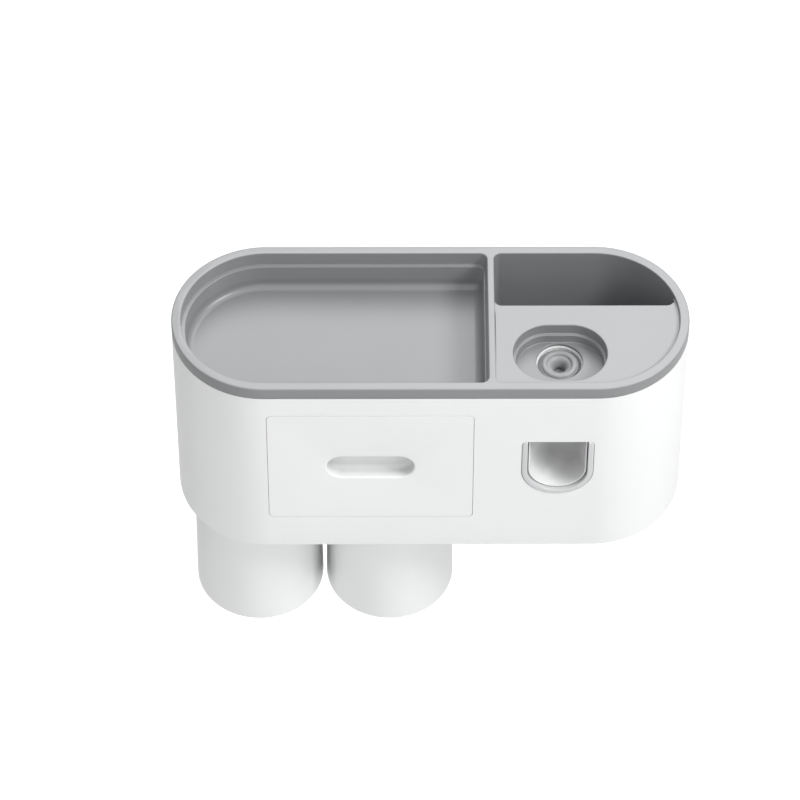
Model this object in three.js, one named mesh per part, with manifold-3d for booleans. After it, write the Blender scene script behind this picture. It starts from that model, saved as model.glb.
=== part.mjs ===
// Wall-mounted toothbrush holder: an oblong moulded body that hangs on a stuck-on bracket, with a lift-out
// top tray, a storage drawer, a push-operated toothpaste pump, hanging slots for brushes on the underside
// and two rinsing cups held upside down by magnets. Millimetres, +Z up, +X to the right, +Y into the wall.
// The origin is the centre of the adhesive sheet's wall face.
import * as THREE from "three";
import { mergeVertices } from "three/addons/utils/BufferGeometryUtils.js";
import Module from "manifold-3d";

const wasm = await Module();
wasm.setup();

// Clearances
const seatGap = 0.3; // between pieces that rest on each other or are fastened together
const slideGap = 0.4; // between pieces that slide past each other
const panelGap = 0.35; // shadow line around the drawer front

// Body
const bodyLength = 272;
const bodyDepth = 98.6;
const bodyHeight = 132.2; // rim top to underside
const shellWall = 2.6;
const baseThickness = 2.8;
const undersideFillet = 1.5;
const basePostHeight = 10;
const basePostBite = 1; // how far a base post is sunk in the shell's wall
const bracketDrop = 48; // rim top above the bracket's centre

// Wall bracket and the sockets that hook over it
const adhesiveThickness = 1;
const adhesiveMargin = 3; // bracket plate beyond the adhesive sheet
const bracketLength = 150;
const bracketHeight = 58;
const bracketThickness = 2;
const bracketCorner = 8;
const tongueSpacing = 90;
const tongueHeadWidth = 28;
const tongueStemWidth = 20;
const tongueHeight = 26;
const tongueHeadThickness = 2;
const tongueCorner = 3;
const lipThickness = 1.6;
const socketWall = 3;
const socketRoof = 3.5;
const socketCorner = 2;

// Top tray
const bandHeight = 7.5;
const rimWidth = 5;
const rimFillet = 0.8;
const trayWall = 2;
const trayCorner = 4;
const leastCorner = 1;
const dividerInset = 105.7; // right end of the body to the divider's left face
const dividerThickness = 3.5;
const panDepth = 24;
const panLedgeDepth = 8.7;
const panLedge = 2; // along the outer sides of the pan, not at the divider
const panFillet = 4;
const deckDepth = 2.5;
const deckThickness = 2.2;
const deckReach = 59.6; // body front to the deck's rear edge
const wellDepth = 64;
const wellFillet = 3;
const recessLength = 49.1;
const recessWidth = 37.6;
const recessSetback = 27; // body front to the middle of the tube recess
const recessStepDepth = 6.7; // below the deck
const recessFloorDepth = 12.3; // below the deck
const recessLedge = 1.5;
const recessFillet = 1.5;
const seatHoleRadius = 12.1;

// Drawer
const drawerLeftMargin = 50.15; // left end of the body to the drawer front
const drawerRightMargin = 113.35; // drawer front to the right end of the body
const drawerDrop = 64.5; // rim top to the middle of the drawer front
const drawerHeight = 85.2;
const panelCorner = 3;
const panelThickness = 3;
const scoopLength = 46.2;
const scoopHeight = 17.4;
const scoopDepth = 6;
const scoopFillet = 2.5;
const scoopWall = 2;
const panelLap = 5.25; // drawer front beyond the side of its box
const boxEdgeDrop = 2; // top of the bay to the drawer box's edge
const boxHeight = 73.5;
const boxDepth = 80;
const boxWall = 2;
const boxCorner = 5;
const boxFillet = 2;
const runnerWidth = 4;
const runnerHeight = 1.2;
const runnerInset = 12; // drawer box side to the middle of its runner
const panelBossRadius = 4;
const panelBossInsetX = 14; // drawer box side to the boss
const panelBossInsetZ = 14; // drawer box edge to the boss

// Drawer bay, the channel that the drawer runs in
const bayWall = 2;
const bayFloor = 2;
const bayRear = 2;
const bayRoom = 1; // between the bay and the pan above it
const bayEarRadius = 4;
const bayEarReach = 5; // bay side to the ear's screw
const bayEarThickness = 2.5;
const bayEarInset = 11; // bay end to the ear's screw

// Screws
const screwHeadRadius = 2.8;
const screwHeadHeight = 1.8;
const screwShankRadius = 1.3;
const screwLength = 8;
const shortScrewLength = 4;
const postRadius = 4;
const pilotClearance = 0.3; // hole radius over the screw's shank
const pilotSpare = 1; // hole depth past the screw's tip

// Cups, their magnets and keepers
const cupInset = 42.2; // left end of the body to the middle of the first cup
const cupGap = 1.8; // between the cups
const cupHeight = 84.7;
const cupMouthRadius = 35.15;
const cupBaseRadius = 34.2;
const cupWall = 1.9;
const cupBaseThickness = 5;
const cupBaseFillet = 3;
const cupLipRadius = 0.9;
const keeperRadius = 20;
const keeperThickness = 1.2;
const cupCoverThickness = 1.5;
const cupCoverLap = 2; // cover beyond the keeper
const magnetRadius = 15;
const magnetThickness = 4;
const magnetRing = 2.5; // wall of the moulded ring round the magnet
const capThickness = 1.4;
const capSkirt = 3;
const capWall = 1.6;

// Brush rack on the underside
const rackInset = 61; // right end of the body to the middle of the rack
const rackForward = 11.7; // middle of the body to the middle of the rack
const rackLength = 82;
const rackWidth = 46;
const rackCorner = 8;
const rackFlange = 3;
const rackFlangeThickness = 1.6;
const brushCount = 4;
const brushPitch = 20;
const brushEntryWidth = 16;
const brushEntryLength = 20;
const brushSlotWidth = 7;
const brushSlotEnd = 6; // rack's rear edge to the end of a slot
const brushEntryEnd = 5; // rack's front edge to the end of an entry
const coverRoom = 2.75; // between the brush cover and the pump above it
const coverWall = 1.6;
const coverEarReach = 5;
const coverEarRadius = 4;
const coverEarThickness = 2;
const coverScrewLength = 4;

// Toothpaste pump
const mouthInset = 68.3; // right end of the body to the middle of the pump
const mouthDrop = 42.3; // rim top to the top of the mouth
const mouthWidth = 39.6;
const mouthHeight = 44.3;
const mouthCorner = 2.5;
const bezelWidth = 3;
const bezelProud = 0.4;
const bezelFillet = 0.35;
const pusherSetback = 1.6; // body front to the pusher's edge
const pusherDepth = 22;
const pusherStroke = 12;
const pusherFillet = 0.6;
const pusherFlange = 2; // thickness of the flange that keeps the push piece in
const pusherFlangeLap = 0.9; // flange beyond the push piece's sides
const nicheWall = 1.9; // pusher's wall round the brush niche
const nicheDepth = 16.5;
const tunnelWall = 2;
const bellowsPressed = 8.6; // length at the end of the stroke
const bellowsLength = pusherStroke + bellowsPressed;
const bellowsOuter = 10.5;
const bellowsInner = 7.5;
const bellowsWall = 1;
const bellowsRibs = 3;
const bellowsSegments = 12;
const springRadius = 13.4;
const springWire = 0.6;
const springTurns = 5;
const springSides = 5;
const springSteps = 8; // steps in one turn
const backThickness = 3;
const backMargin = 3;
const backEarReach = 2; // tunnel side to the back plate's screw
const backEarLength = 9;
const backChannelDepth = 1.6;
const flangeSetback = 8; // body front to the pump's flange
const flangeThickness = 2.5;
const flangeScrewX = 26;
const flangeScrewZ = 23;
const flangeMargin = 5;
const galleryWidth = 16;
const galleryHeight = 11;
const galleryStart = 5; // body front to the gallery's end
const galleryCorner = 2;
const galleryBore = 2.8;
const inletSetback = 31.4; // body front to the inlet
const inletSetDown = 2.1; // recess floor to the top of the inlet seat
const inletCupWall = 1.8;
const inletCupDepth = 9.8;
const inletCupFloor = 2;
const inletBore = 5.2; // wide enough for the valve's flap to swing down
const seatRadius = 11.4;
const seatDepth = 8;
const seatEdge = 0.6;
const dishRadius = 8.6;
const dishBead = 0.5; // rise of the crest round the dish
const dishDepth = 4.8;
const seatBore = 3.2;
const valveThickness = 1.2;
const valveFlap = 4.4;
const valveSlit = 0.6;
const valveHinge = 3;
const nozzleSetback = 10; // body front to the nozzle's middle
const nozzleRadius = 3.6;
const nozzleFlangeRadius = 4.6;
const nozzleFlange = 1.2;
const nozzleDrop = 3.5; // flange to the nozzle's tip
const nozzleTipRadius = 2.2;
const nozzleBore = 1.4;

// Facets
const quarter = Math.PI / 2;
const endSegments = 20; // in each round end of the body
const cornerSegments = 4;
const edgeSegments = 2;
const cupSegments = 32;
const turnSegments = 20;
const screwSegments = 8;
const bowlSegments = 3; // in the seat's bowl
const reach = 400; // half width of trimming slabs
const through = 1; // how far a cut runs past a face
const leastStep = 0.001; // outline points nearer than this are one point

// Levels, from the bracket up
const rimTop = bracketDrop;
const bandBottom = rimTop - bandHeight;
const shellTop = bandBottom - seatGap;
const underside = rimTop - bodyHeight;
const floorTop = underside + baseThickness;
const panFloor = rimTop - panDepth;
const panLedgeZ = rimTop - panLedgeDepth;
const deckZ = rimTop - deckDepth;
const wellFloor = rimTop - wellDepth;
const recessStepZ = deckZ - recessStepDepth;
const recessFloorZ = deckZ - recessFloorDepth;

// Depths, from the wall to the front
const bracketRear = -(adhesiveThickness + seatGap);
const bracketFront = bracketRear - bracketThickness;
const lipRear = bracketFront - slideGap;
const lipFront = lipRear - lipThickness;
const headRear = lipFront - slideGap;
const headFront = headRear - tongueHeadThickness;
const rearFace = headFront - slideGap;
const frontFace = rearFace - bodyDepth;
const innerFront = frontFace + shellWall;
const endRadius = bodyDepth / 2;
const endX = bodyLength / 2 - endRadius;
const midY = rearFace - endRadius;
const trayEndRadius = endRadius - rimWidth;

// Places along the body
const rightEnd = bodyLength / 2;
const leftEnd = -rightEnd;
const dividerX = rightEnd - dividerInset;
const mouthX = rightEnd - mouthInset;
const rackX = rightEnd - rackInset;
const drawerWidth = bodyLength - drawerLeftMargin - drawerRightMargin;
const drawerX = leftEnd + drawerLeftMargin + drawerWidth / 2;
const boxWidth = drawerWidth - 2 * panelLap;
const cupPitch = 2 * Math.max(cupMouthRadius, cupBaseRadius) + cupGap;
const cupXs = { left: leftEnd + cupInset, right: leftEnd + cupInset + cupPitch };

const holder = new THREE.Group();
const upright = new THREE.Matrix4();
const frontward = new THREE.Matrix4().makeRotationX(Math.PI / 2);

function finish(color, roughness, metalness = 0) {
  return new THREE.MeshStandardMaterial({ color, roughness, metalness });
}

const finishes = {
  whiteAbs: finish(0xf3f4f4, 0.35),
  greyAbs: finish(0xb4b7ba, 0.42),
  innerAbs: finish(0xe9eaea, 0.5),
  bezel: finish(0xd3d6d8, 0.25),
  silicone: finish(0xbfc2c4, 0.6),
  steel: finish(0xc4c6c8, 0.35, 1),
  magnet: finish(0x8e9194, 0.3, 1),
  bracket: finish(0xdfe2e3, 0.3),
  adhesive: finish(0xd6d3cc, 0.8),
};

// Closed solid of a closed geometry, with its faces pointing out
function solidOf(geometry) {
  geometry.deleteAttribute("normal");
  geometry.deleteAttribute("uv");
  const merged = mergeVertices(geometry);
  const position = merged.getAttribute("position");
  const index = merged.getIndex();
  const corners = [new THREE.Vector3(), new THREE.Vector3(), new THREE.Vector3()];
  const triangles = [];
  let sixVolumes = 0;
  for (let first = 0; first < index.count; first += 3) {
    const ids = [0, 1, 2].map((step) => index.getX(first + step));
    if (new Set(ids).size < 3) continue;
    triangles.push(ids);
    ids.forEach((id, step) => corners[step].fromBufferAttribute(position, id));
    sixVolumes += corners[0].dot(corners[1].cross(corners[2]));
  }
  if (sixVolumes < 0) triangles.forEach((ids) => ids.reverse());
  return new wasm.Manifold(
    new wasm.Mesh({
      numProp: 3,
      vertProperties: new Float32Array(position.array),
      triVerts: new Uint32Array(triangles.flat()),
    }),
  );
}

function joined(first, ...others) {
  return others.reduce((sum, other) => sum.add(other), first);
}

function cut(first, ...others) {
  return others.reduce((rest, other) => rest.subtract(other), first);
}

function addPiece(name, solid, material) {
  const { vertProperties, triVerts } = solid.getMesh();
  const geometry = new THREE.BufferGeometry();
  geometry.setAttribute("position", new THREE.BufferAttribute(new Float32Array(vertProperties), 3));
  geometry.setIndex(new THREE.BufferAttribute(new Uint32Array(triVerts), 1));
  geometry.computeVertexNormals();
  const mesh = new THREE.Mesh(geometry, material);
  mesh.name = name;
  holder.add(mesh);
}

function block(lowX, highX, lowY, highY, lowZ, highZ) {
  const geometry = new THREE.BoxGeometry(highX - lowX, highY - lowY, highZ - lowZ);
  geometry.translate((lowX + highX) / 2, (lowY + highY) / 2, (lowZ + highZ) / 2);
  return solidOf(geometry);
}

// Extrusion of a plan outline between two levels, with rounded edges where a radius is given
function prism(shape, low, high, { bottom = 0, top = 0, turn = upright } = {}) {
  const radius = Math.max(bottom, top);
  const start = bottom > 0 ? low : low - radius;
  const end = top > 0 ? high : high + radius;
  const geometry = new THREE.ExtrudeGeometry(shape, {
    depth: end - start - 2 * radius,
    bevelEnabled: radius > 0,
    bevelThickness: radius,
    bevelSize: radius,
    bevelOffset: -radius,
    bevelSegments: edgeSegments,
  });
  geometry.translate(0, 0, start + radius);
  geometry.applyMatrix4(turn);
  const whole = solidOf(geometry);
  if (start === low && end === high) return whole;
  const slab = new THREE.BoxGeometry(2 * reach, 2 * reach, high - low);
  slab.translate(0, 0, (low + high) / 2);
  slab.applyMatrix4(turn);
  return whole.intersect(solidOf(slab));
}

// Basin of an outline that is drawn in by a quarter round towards its floor; corners follow the outline
function basin(outline, offset, floor, top, fillet) {
  const steps = Array.from({ length: edgeSegments + 1 }, (_, step) => (step / edgeSegments) * (Math.PI / 2));
  const slices = steps.map((angle) => [
    offset + fillet * (1 - Math.sin(angle)),
    floor + fillet * (1 - Math.cos(angle)),
  ]);
  slices.push([offset, top]);
  const rings = slices.map(([inset]) => outline(inset).getPoints());
  const count = rings[0].length;
  const points = rings.flatMap((ring, level) => ring.flatMap(({ x, y }) => [x, y, slices[level][1]]));
  const cap = THREE.ShapeUtils.triangulateShape(rings[0], []);
  const lid = (rings.length - 1) * count;
  const faces = cap.flatMap(([a, b, c]) => [c, b, a, lid + a, lid + b, lid + c]);
  for (let level = 0; level < lid; level += count) {
    for (let near = 0; near < count; near += 1) {
      const far = (near + 1) % count;
      faces.push(level + near, level + far, level + count + far);
      faces.push(level + near, level + count + far, level + count + near);
    }
  }
  const geometry = new THREE.BufferGeometry();
  geometry.setAttribute("position", new THREE.Float32BufferAttribute(points, 3));
  geometry.setIndex(faces);
  return solidOf(geometry);
}

// Extrusion of an outline in the front view between two depths
function frontPrism(shape, front, rear, { frontEdge = 0, rearEdge = 0 } = {}) {
  return prism(shape, -rear, -front, { bottom: rearEdge, top: frontEdge, turn: frontward });
}

// Solid of revolution about a vertical axis, from [radius, level] pairs
function turned(profile, x, y, segments = turnSegments) {
  const points = profile.map(([radius, level]) => new THREE.Vector2(radius, level));
  const geometry = new THREE.LatheGeometry(points, segments);
  geometry.rotateX(Math.PI / 2);
  geometry.translate(x, y, 0);
  return solidOf(geometry);
}

// Solid of revolution about a front-to-back axis, from [radius, depth] pairs
function turnedFront(profile, x, z, segments = turnSegments) {
  const points = profile.map(([radius, depth]) => new THREE.Vector2(radius, depth));
  const geometry = new THREE.LatheGeometry(points, segments);
  geometry.translate(x, 0, z);
  return solidOf(geometry);
}

function rod(radius, x, y, low, high, segments = turnSegments) {
  return turned([[0, low], [radius, low], [radius, high], [0, high]], x, y, segments);
}

function frontRod(radius, x, z, front, rear, segments = turnSegments) {
  return turnedFront([[0, front], [radius, front], [radius, rear], [0, rear]], x, z, segments);
}

// Points along an arc, both ends included
function arc(x, y, radius, from, to, steps) {
  return Array.from({ length: steps + 1 }, (_, step) => {
    const angle = from + ((to - from) * step) / steps;
    return new THREE.Vector2(x + radius * Math.cos(angle), y + radius * Math.sin(angle));
  });
}

// Closed outline through its arcs, without the repeats where one arc runs on into the next
function outlineOf(...arcs) {
  const points = arcs.flat();
  return new THREE.Shape(points.filter((point, index) => point.distanceTo(points.at(index - 1)) > leastStep));
}

function stadium(length, width, x, y, steps = cupSegments / 4) {
  const radius = width / 2;
  const arm = length / 2 - radius;
  return outlineOf(
    arc(x + arm, y, radius, -quarter, quarter, steps),
    arc(x - arm, y, radius, quarter, 3 * quarter, steps),
  );
}

function roundedRectangle(width, height, radius, x, y) {
  const armX = width / 2 - radius;
  const armY = height / 2 - radius;
  return outlineOf(
    arc(x + armX, y - armY, radius, -quarter, 0, cornerSegments),
    arc(x + armX, y + armY, radius, 0, quarter, cornerSegments),
    arc(x - armX, y + armY, radius, quarter, 2 * quarter, cornerSegments),
    arc(x - armX, y - armY, radius, 2 * quarter, 3 * quarter, cornerSegments),
  );
}

// Flat top with small corners, sides straight down to a half round; the top can have an offset of its own
function mouthOutline(offset, topOffset = offset) {
  const radius = mouthWidth / 2 - offset;
  const corner = Math.max(mouthCorner - offset, leastCorner);
  const cornerZ = rimTop - mouthDrop - topOffset - corner;
  const roundZ = rimTop - mouthDrop - mouthHeight + mouthWidth / 2;
  return outlineOf(
    arc(mouthX + radius - corner, cornerZ, corner, 0, quarter, cornerSegments),
    arc(mouthX - radius + corner, cornerZ, corner, quarter, 2 * quarter, cornerSegments),
    arc(mouthX, roundZ, radius, 2 * quarter, 4 * quarter, turnSegments / 2),
  );
}

function bodyOutline(inset) {
  return stadium(bodyLength - 2 * inset, bodyDepth - 2 * inset, 0, midY, endSegments);
}

// Left pan: round end at the left, small corners at the divider; a positive offset goes inwards
function panOutline(offset, dividerOffset = offset) {
  const radius = trayEndRadius - offset;
  const corner = Math.max(trayCorner - offset, leastCorner);
  const cornerX = dividerX - dividerOffset - corner;
  return outlineOf(
    arc(cornerX, midY - radius + corner, corner, -quarter, 0, cornerSegments),
    arc(cornerX, midY + radius - corner, corner, 0, quarter, cornerSegments),
    arc(-endX, midY, radius, quarter, 3 * quarter, endSegments),
  );
}

// Pan below its ledge, flush with the divider
function lowerPanOutline(offset) {
  return panOutline(offset, offset - panLedge);
}

// Right compartment: round end at the right, small corners at the divider
function deckOutline(offset) {
  const radius = trayEndRadius - offset;
  const corner = Math.max(trayCorner - offset, leastCorner);
  const cornerX = dividerX + dividerThickness + offset + corner;
  return outlineOf(
    arc(endX, midY, radius, -quarter, quarter, endSegments),
    arc(cornerX, midY + radius - corner, corner, quarter, 2 * quarter, cornerSegments),
    arc(cornerX, midY - radius + corner, corner, 2 * quarter, 3 * quarter, cornerSegments),
  );
}

// Rear part of the right compartment, closed in front along the deck's edge
function wellOutline(offset) {
  const radius = trayEndRadius - offset;
  const corner = Math.max(trayCorner - offset, leastCorner);
  const cornerX = dividerX + dividerThickness + offset + corner;
  const cornerY = frontFace + deckReach + offset + corner;
  const rise = cornerY - midY;
  const run = Math.sqrt((radius - corner) ** 2 - rise ** 2);
  const meeting = Math.atan2(rise, run);
  return outlineOf(
    arc(endX + run, cornerY, corner, -quarter, meeting, cornerSegments),
    arc(endX, midY, radius, meeting, quarter, endSegments / 2),
    arc(cornerX, midY + radius - corner, corner, quarter, 2 * quarter, cornerSegments),
    arc(cornerX, cornerY, corner, 2 * quarter, 3 * quarter, cornerSegments),
  );
}

function recessOutline(offset) {
  return stadium(recessLength - 2 * offset, recessWidth - 2 * offset, mouthX, frontFace + recessSetback);
}

// Pan-head screw, head up
function screw(x, y, seatZ, length) {
  const headTop = seatZ + screwHeadHeight;
  const profile = [
    [0, seatZ - length],
    [screwShankRadius, seatZ - length],
    [screwShankRadius, seatZ],
    [screwHeadRadius, seatZ],
    [screwHeadRadius, headTop],
    [0, headTop],
  ];
  return turned(profile, x, y, screwSegments);
}

// Pan-head screw driven forwards, head to the rear
function frontScrew(x, z, seatY, length) {
  const headRearY = seatY + screwHeadHeight;
  const profile = [
    [0, seatY - length],
    [screwShankRadius, seatY - length],
    [screwShankRadius, seatY],
    [screwHeadRadius, seatY],
    [screwHeadRadius, headRearY],
    [0, headRearY],
  ];
  return turnedFront(profile, x, z, screwSegments);
}

// Flat-headed screw driven upwards, its head below the seat
function upwardScrew(x, y, seatZ, length) {
  const profile = [
    [0, seatZ - screwHeadHeight],
    [screwHeadRadius, seatZ - screwHeadHeight],
    [screwHeadRadius, seatZ - seatGap],
    [screwShankRadius, seatZ - seatGap],
    [screwShankRadius, seatZ + length],
    [0, seatZ + length],
  ];
  return turned(profile, x, y, screwSegments);
}

const pilotRadius = screwShankRadius + pilotClearance;

// Corners of a rectangle, in reading order
function corners(x, y, armX, armY) {
  return [[x - armX, y + armY], [x + armX, y + armY], [x - armX, y - armY], [x + armX, y - armY]];
}

// Wall bracket
const tongueXs = [-tongueSpacing / 2, tongueSpacing / 2];

function adhesiveSheet() {
  const length = bracketLength - 2 * adhesiveMargin;
  const height = bracketHeight - 2 * adhesiveMargin;
  const outline = roundedRectangle(length, height, bracketCorner - adhesiveMargin, 0, 0);
  return frontPrism(outline, -adhesiveThickness, 0);
}

function wallBracket() {
  const outline = roundedRectangle(bracketLength, bracketHeight, bracketCorner, 0, 0);
  const plate = frontPrism(outline, bracketFront, bracketRear);
  const tongues = tongueXs.map((x) => {
    const stem = block(
      x - tongueStemWidth / 2, x + tongueStemWidth / 2,
      headRear - tongueHeadThickness / 2, bracketFront + bracketThickness / 2,
      -tongueHeight / 2, tongueHeight / 2,
    );
    const headOutline = roundedRectangle(tongueHeadWidth, tongueHeight, tongueCorner, x, 0);
    return joined(stem, frontPrism(headOutline, headFront, headRear));
  });
  return joined(plate, ...tongues);
}

// Hook socket on the back of the body: closed at the top, open below
function hookSocket(x) {
  const slotHalf = tongueHeadWidth / 2 + slideGap;
  const mouthHalf = tongueStemWidth / 2 + slideGap;
  const slotTop = tongueHeight / 2 + seatGap;
  const top = slotTop + socketRoof;
  const bottom = -tongueHeight / 2;
  const width = 2 * (slotHalf + socketWall);
  const outline = roundedRectangle(width, top - bottom, socketCorner, x, (top + bottom) / 2);
  const outer = frontPrism(outline, rearFace - shellWall / 2, lipRear);
  const slot = block(x - slotHalf, x + slotHalf, rearFace, lipFront, bottom - through, slotTop);
  const mouth = block(x - mouthHalf, x + mouthHalf, rearFace, lipRear + through, bottom - through, slotTop);
  return { outer, hollow: joined(slot, mouth) };
}

// Drawer values that the body, bay and box share
const drawerZ = rimTop - drawerDrop;
const panelRear = frontFace + panelThickness;
const boxFront = panelRear + seatGap;
const boxRear = boxFront + boxDepth;
const bayTop = panFloor - trayWall - bayRoom;
const boxTop = bayTop - boxEdgeDrop;
const boxBottom = boxTop - boxHeight;
const bayFloorTop = boxBottom - runnerHeight - seatGap;
const bayFloorBottom = bayFloorTop - bayFloor;
const bayInnerHalf = boxWidth / 2 + slideGap;
const bayOuterHalf = bayInnerHalf + bayWall;
const bayFrontY = Math.max(innerFront, panelRear) + seatGap;
const bayInnerRear = boxRear + slideGap;
const bayRearY = bayInnerRear + bayRear;
const magnetCapInner = magnetRadius + seatGap + magnetRing + seatGap;
const magnetCapOuter = magnetCapInner + capWall;
const bayEarRoom = magnetCapOuter + seatGap + postRadius; // middle of a magnet to the middle of an ear
const bayEarFrontY = Math.min(bayFrontY + bayEarInset, midY - bayEarRoom);
const bayEarRearY = Math.max(bayRearY - bayEarInset, midY + bayEarRoom);
const bayEars = corners(
  drawerX, (bayEarFrontY + bayEarRearY) / 2, bayOuterHalf + bayEarReach, (bayEarRearY - bayEarFrontY) / 2,
);
const bayEarTop = bayFloorBottom + bayEarThickness;
const bayEarBottom = bayFloorBottom;

// Rack values that the body, rack and cover share
const rackY = midY - rackForward;
const rackFlangeTop = floorTop + seatGap + rackFlangeThickness;
const coverFlangeBottom = rackFlangeTop + seatGap;
const coverFlangeTop = coverFlangeBottom + coverEarThickness;
const coverEars = [
  { x: rackX + rackLength / 2 + rackFlange + coverEarReach, y: rackY, toX: -1, toY: 0 },
  { x: rackX - rackLength / 4, y: rackY + rackWidth / 2 + rackFlange + coverEarReach, toX: 0, toY: -1 },
];

// Pump values that the body, pump and bezel share
const mouthRoundZ = rimTop - mouthDrop - mouthHeight + mouthWidth / 2;
const mouthMidZ = rimTop - mouthDrop - mouthHeight / 2;
const flangeFrontY = frontFace + flangeSetback + seatGap;
const flangeRearY = flangeFrontY + flangeThickness;
const pumpScrews = corners(mouthX, mouthMidZ, flangeScrewX, flangeScrewZ);
const pusherFrontY = frontFace + pusherSetback;
const pusherRearY = pusherFrontY + pusherDepth;
const shoulderY = pusherRearY - pusherFlange - seatGap;
const tunnelRearY = pusherRearY + bellowsLength + 2 * seatGap;
const backFrontY = tunnelRearY + seatGap;
const backRearY = backFrontY + backThickness;
const tunnelRoof = rimTop - mouthDrop;
const tunnelHalf = mouthWidth / 2 - bezelWidth + tunnelWall;
const galleryZ = tunnelRoof + tunnelWall / 2 + galleryHeight / 2;
const galleryTop = galleryZ + galleryHeight / 2;
const backEars = [-1, 1].map((side) => [mouthX + side * (tunnelHalf + backEarReach), mouthRoundZ]);
const inletY = frontFace + inletSetback;
const seatTop = recessFloorZ - inletSetDown;
const inletCupTop = recessFloorZ - trayWall - seatGap;
const inletCupBottom = inletCupTop - inletCupDepth - inletCupFloor;
const nozzleY = frontFace + nozzleSetback;

// Screws that hold the base, one behind and one in front at each end of the straight sides
const basePostReach = endRadius - shellWall - postRadius + basePostBite;
const baseScrews = corners(0, midY, endX, basePostReach);

function post(x, y, bottom, top, screwDepth) {
  const body = rod(postRadius, x, y, bottom, top, screwSegments);
  return cut(body, rod(pilotRadius, x, y, top - screwDepth - pilotSpare, top + through, screwSegments));
}

function bodyShell() {
  const outer = prism(bodyOutline(0), underside, shellTop, { bottom: undersideFillet });
  const cavity = prism(bodyOutline(shellWall), underside - through, shellTop + through);
  const sockets = tongueXs.map(hookSocket);
  let shell = joined(outer, ...sockets.map(({ outer: boss }) => boss));
  shell = cut(shell, cavity, ...sockets.map(({ hollow }) => hollow));
  const drawerHole = roundedRectangle(
    drawerWidth + 2 * panelGap, drawerHeight + 2 * panelGap, panelCorner + panelGap, drawerX, drawerZ,
  );
  shell = cut(
    shell,
    frontPrism(drawerHole, frontFace - through, innerFront + through),
    frontPrism(mouthOutline(-seatGap), frontFace - through, innerFront + through),
  );
  const basePosts = baseScrews.map(([x, y]) => {
    const bottom = floorTop + seatGap;
    const body = rod(postRadius, x, y, bottom, bottom + basePostHeight, screwSegments);
    return cut(body, rod(pilotRadius, x, y, bottom - through, bottom + screwLength, screwSegments));
  });
  const pumpPosts = pumpScrews.map(([x, z]) => {
    const rear = flangeFrontY - seatGap;
    const body = frontRod(postRadius, x, z, innerFront - shellWall / 3, rear, screwSegments);
    const bottom = rear - (shortScrewLength - flangeThickness) - pilotSpare;
    return cut(body, frontRod(pilotRadius, x, z, bottom, rear + through, screwSegments));
  });
  return joined(shell, ...basePosts, ...pumpPosts);
}

// Base that closes the body below and carries the drawer bay, the magnets and the brush rack
function basePlate() {
  const rackHole = roundedRectangle(
    rackLength + 2 * seatGap, rackWidth + 2 * seatGap, rackCorner + seatGap, rackX, rackY,
  );
  const plate = cut(
    prism(bodyOutline(shellWall + seatGap), underside, floorTop),
    prism(rackHole, underside - through, floorTop + through),
    ...baseScrews.map(([x, y]) =>
      joined(
        rod(screwHeadRadius + seatGap, x, y, underside - through, underside + screwHeadHeight, screwSegments),
        rod(pilotRadius, x, y, underside - through, floorTop + through, screwSegments),
      )),
  );
  const magnetRings = Object.values(cupXs).map((x) => {
    const inner = magnetRadius + seatGap;
    const outer = inner + magnetRing;
    const top = floorTop + magnetThickness;
    const bottom = floorTop - baseThickness / 2;
    return turned([[inner, bottom], [outer, bottom], [outer, top], [inner, top], [inner, bottom]], x, midY);
  });
  const bayPosts = bayEars.map(([x, y]) =>
    post(x, y, floorTop - baseThickness / 2, bayEarBottom - seatGap, screwLength - bayEarThickness));
  const coverScrewBite = coverScrewLength - coverEarThickness;
  const coverPosts = coverEars.map(({ x, y }) =>
    post(x, y, floorTop - baseThickness / 2, coverFlangeBottom - seatGap, coverScrewBite));
  return joined(plate, ...magnetRings, ...bayPosts, ...coverPosts);
}

function topTray() {
  const rim = cut(
    prism(bodyOutline(0), bandBottom, rimTop, { top: rimFillet }),
    prism(bodyOutline(rimWidth), bandBottom - through, rimTop + through),
  );
  const dividerHalf = trayEndRadius + trayWall;
  const divider = block(
    dividerX, dividerX + dividerThickness, midY - dividerHalf, midY + dividerHalf,
    panLedgeZ - trayWall, rimTop,
  );
  const body = joined(
    rim,
    divider,
    prism(panOutline(-trayWall), panLedgeZ - trayWall, rimTop),
    basin(lowerPanOutline, panLedge - trayWall, panFloor - trayWall, panLedgeZ, panFillet),
    prism(deckOutline(-trayWall), deckZ - deckThickness, rimTop),
    basin(wellOutline, -trayWall, wellFloor - trayWall, deckZ, wellFillet),
    prism(recessOutline(-trayWall), recessStepZ - trayWall, deckZ),
    prism(recessOutline(recessLedge - trayWall), recessFloorZ - trayWall, recessStepZ),
  );
  return cut(
    body,
    prism(panOutline(0), panLedgeZ, rimTop + through),
    basin(lowerPanOutline, panLedge, panFloor, panLedgeZ + through, panFillet),
    prism(deckOutline(0), deckZ, rimTop + through),
    basin(wellOutline, 0, wellFloor, rimTop + through, wellFillet),
    prism(recessOutline(0), recessStepZ, deckZ + through),
    prism(recessOutline(recessLedge), recessFloorZ, recessStepZ + through, { bottom: recessFillet }),
    rod(seatHoleRadius, mouthX, inletY, recessFloorZ - trayWall - through, recessFloorZ + through),
  );
}

// Drawer
const panelBosses = corners(
  drawerX, (boxTop + boxBottom) / 2, boxWidth / 2 - panelBossInsetX, boxHeight / 2 - panelBossInsetZ,
);
const boxWallRear = boxFront + boxWall;

function scoopOutline(offset) {
  return stadium(scoopLength - 2 * offset, scoopHeight - 2 * offset, drawerX, drawerZ);
}

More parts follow.
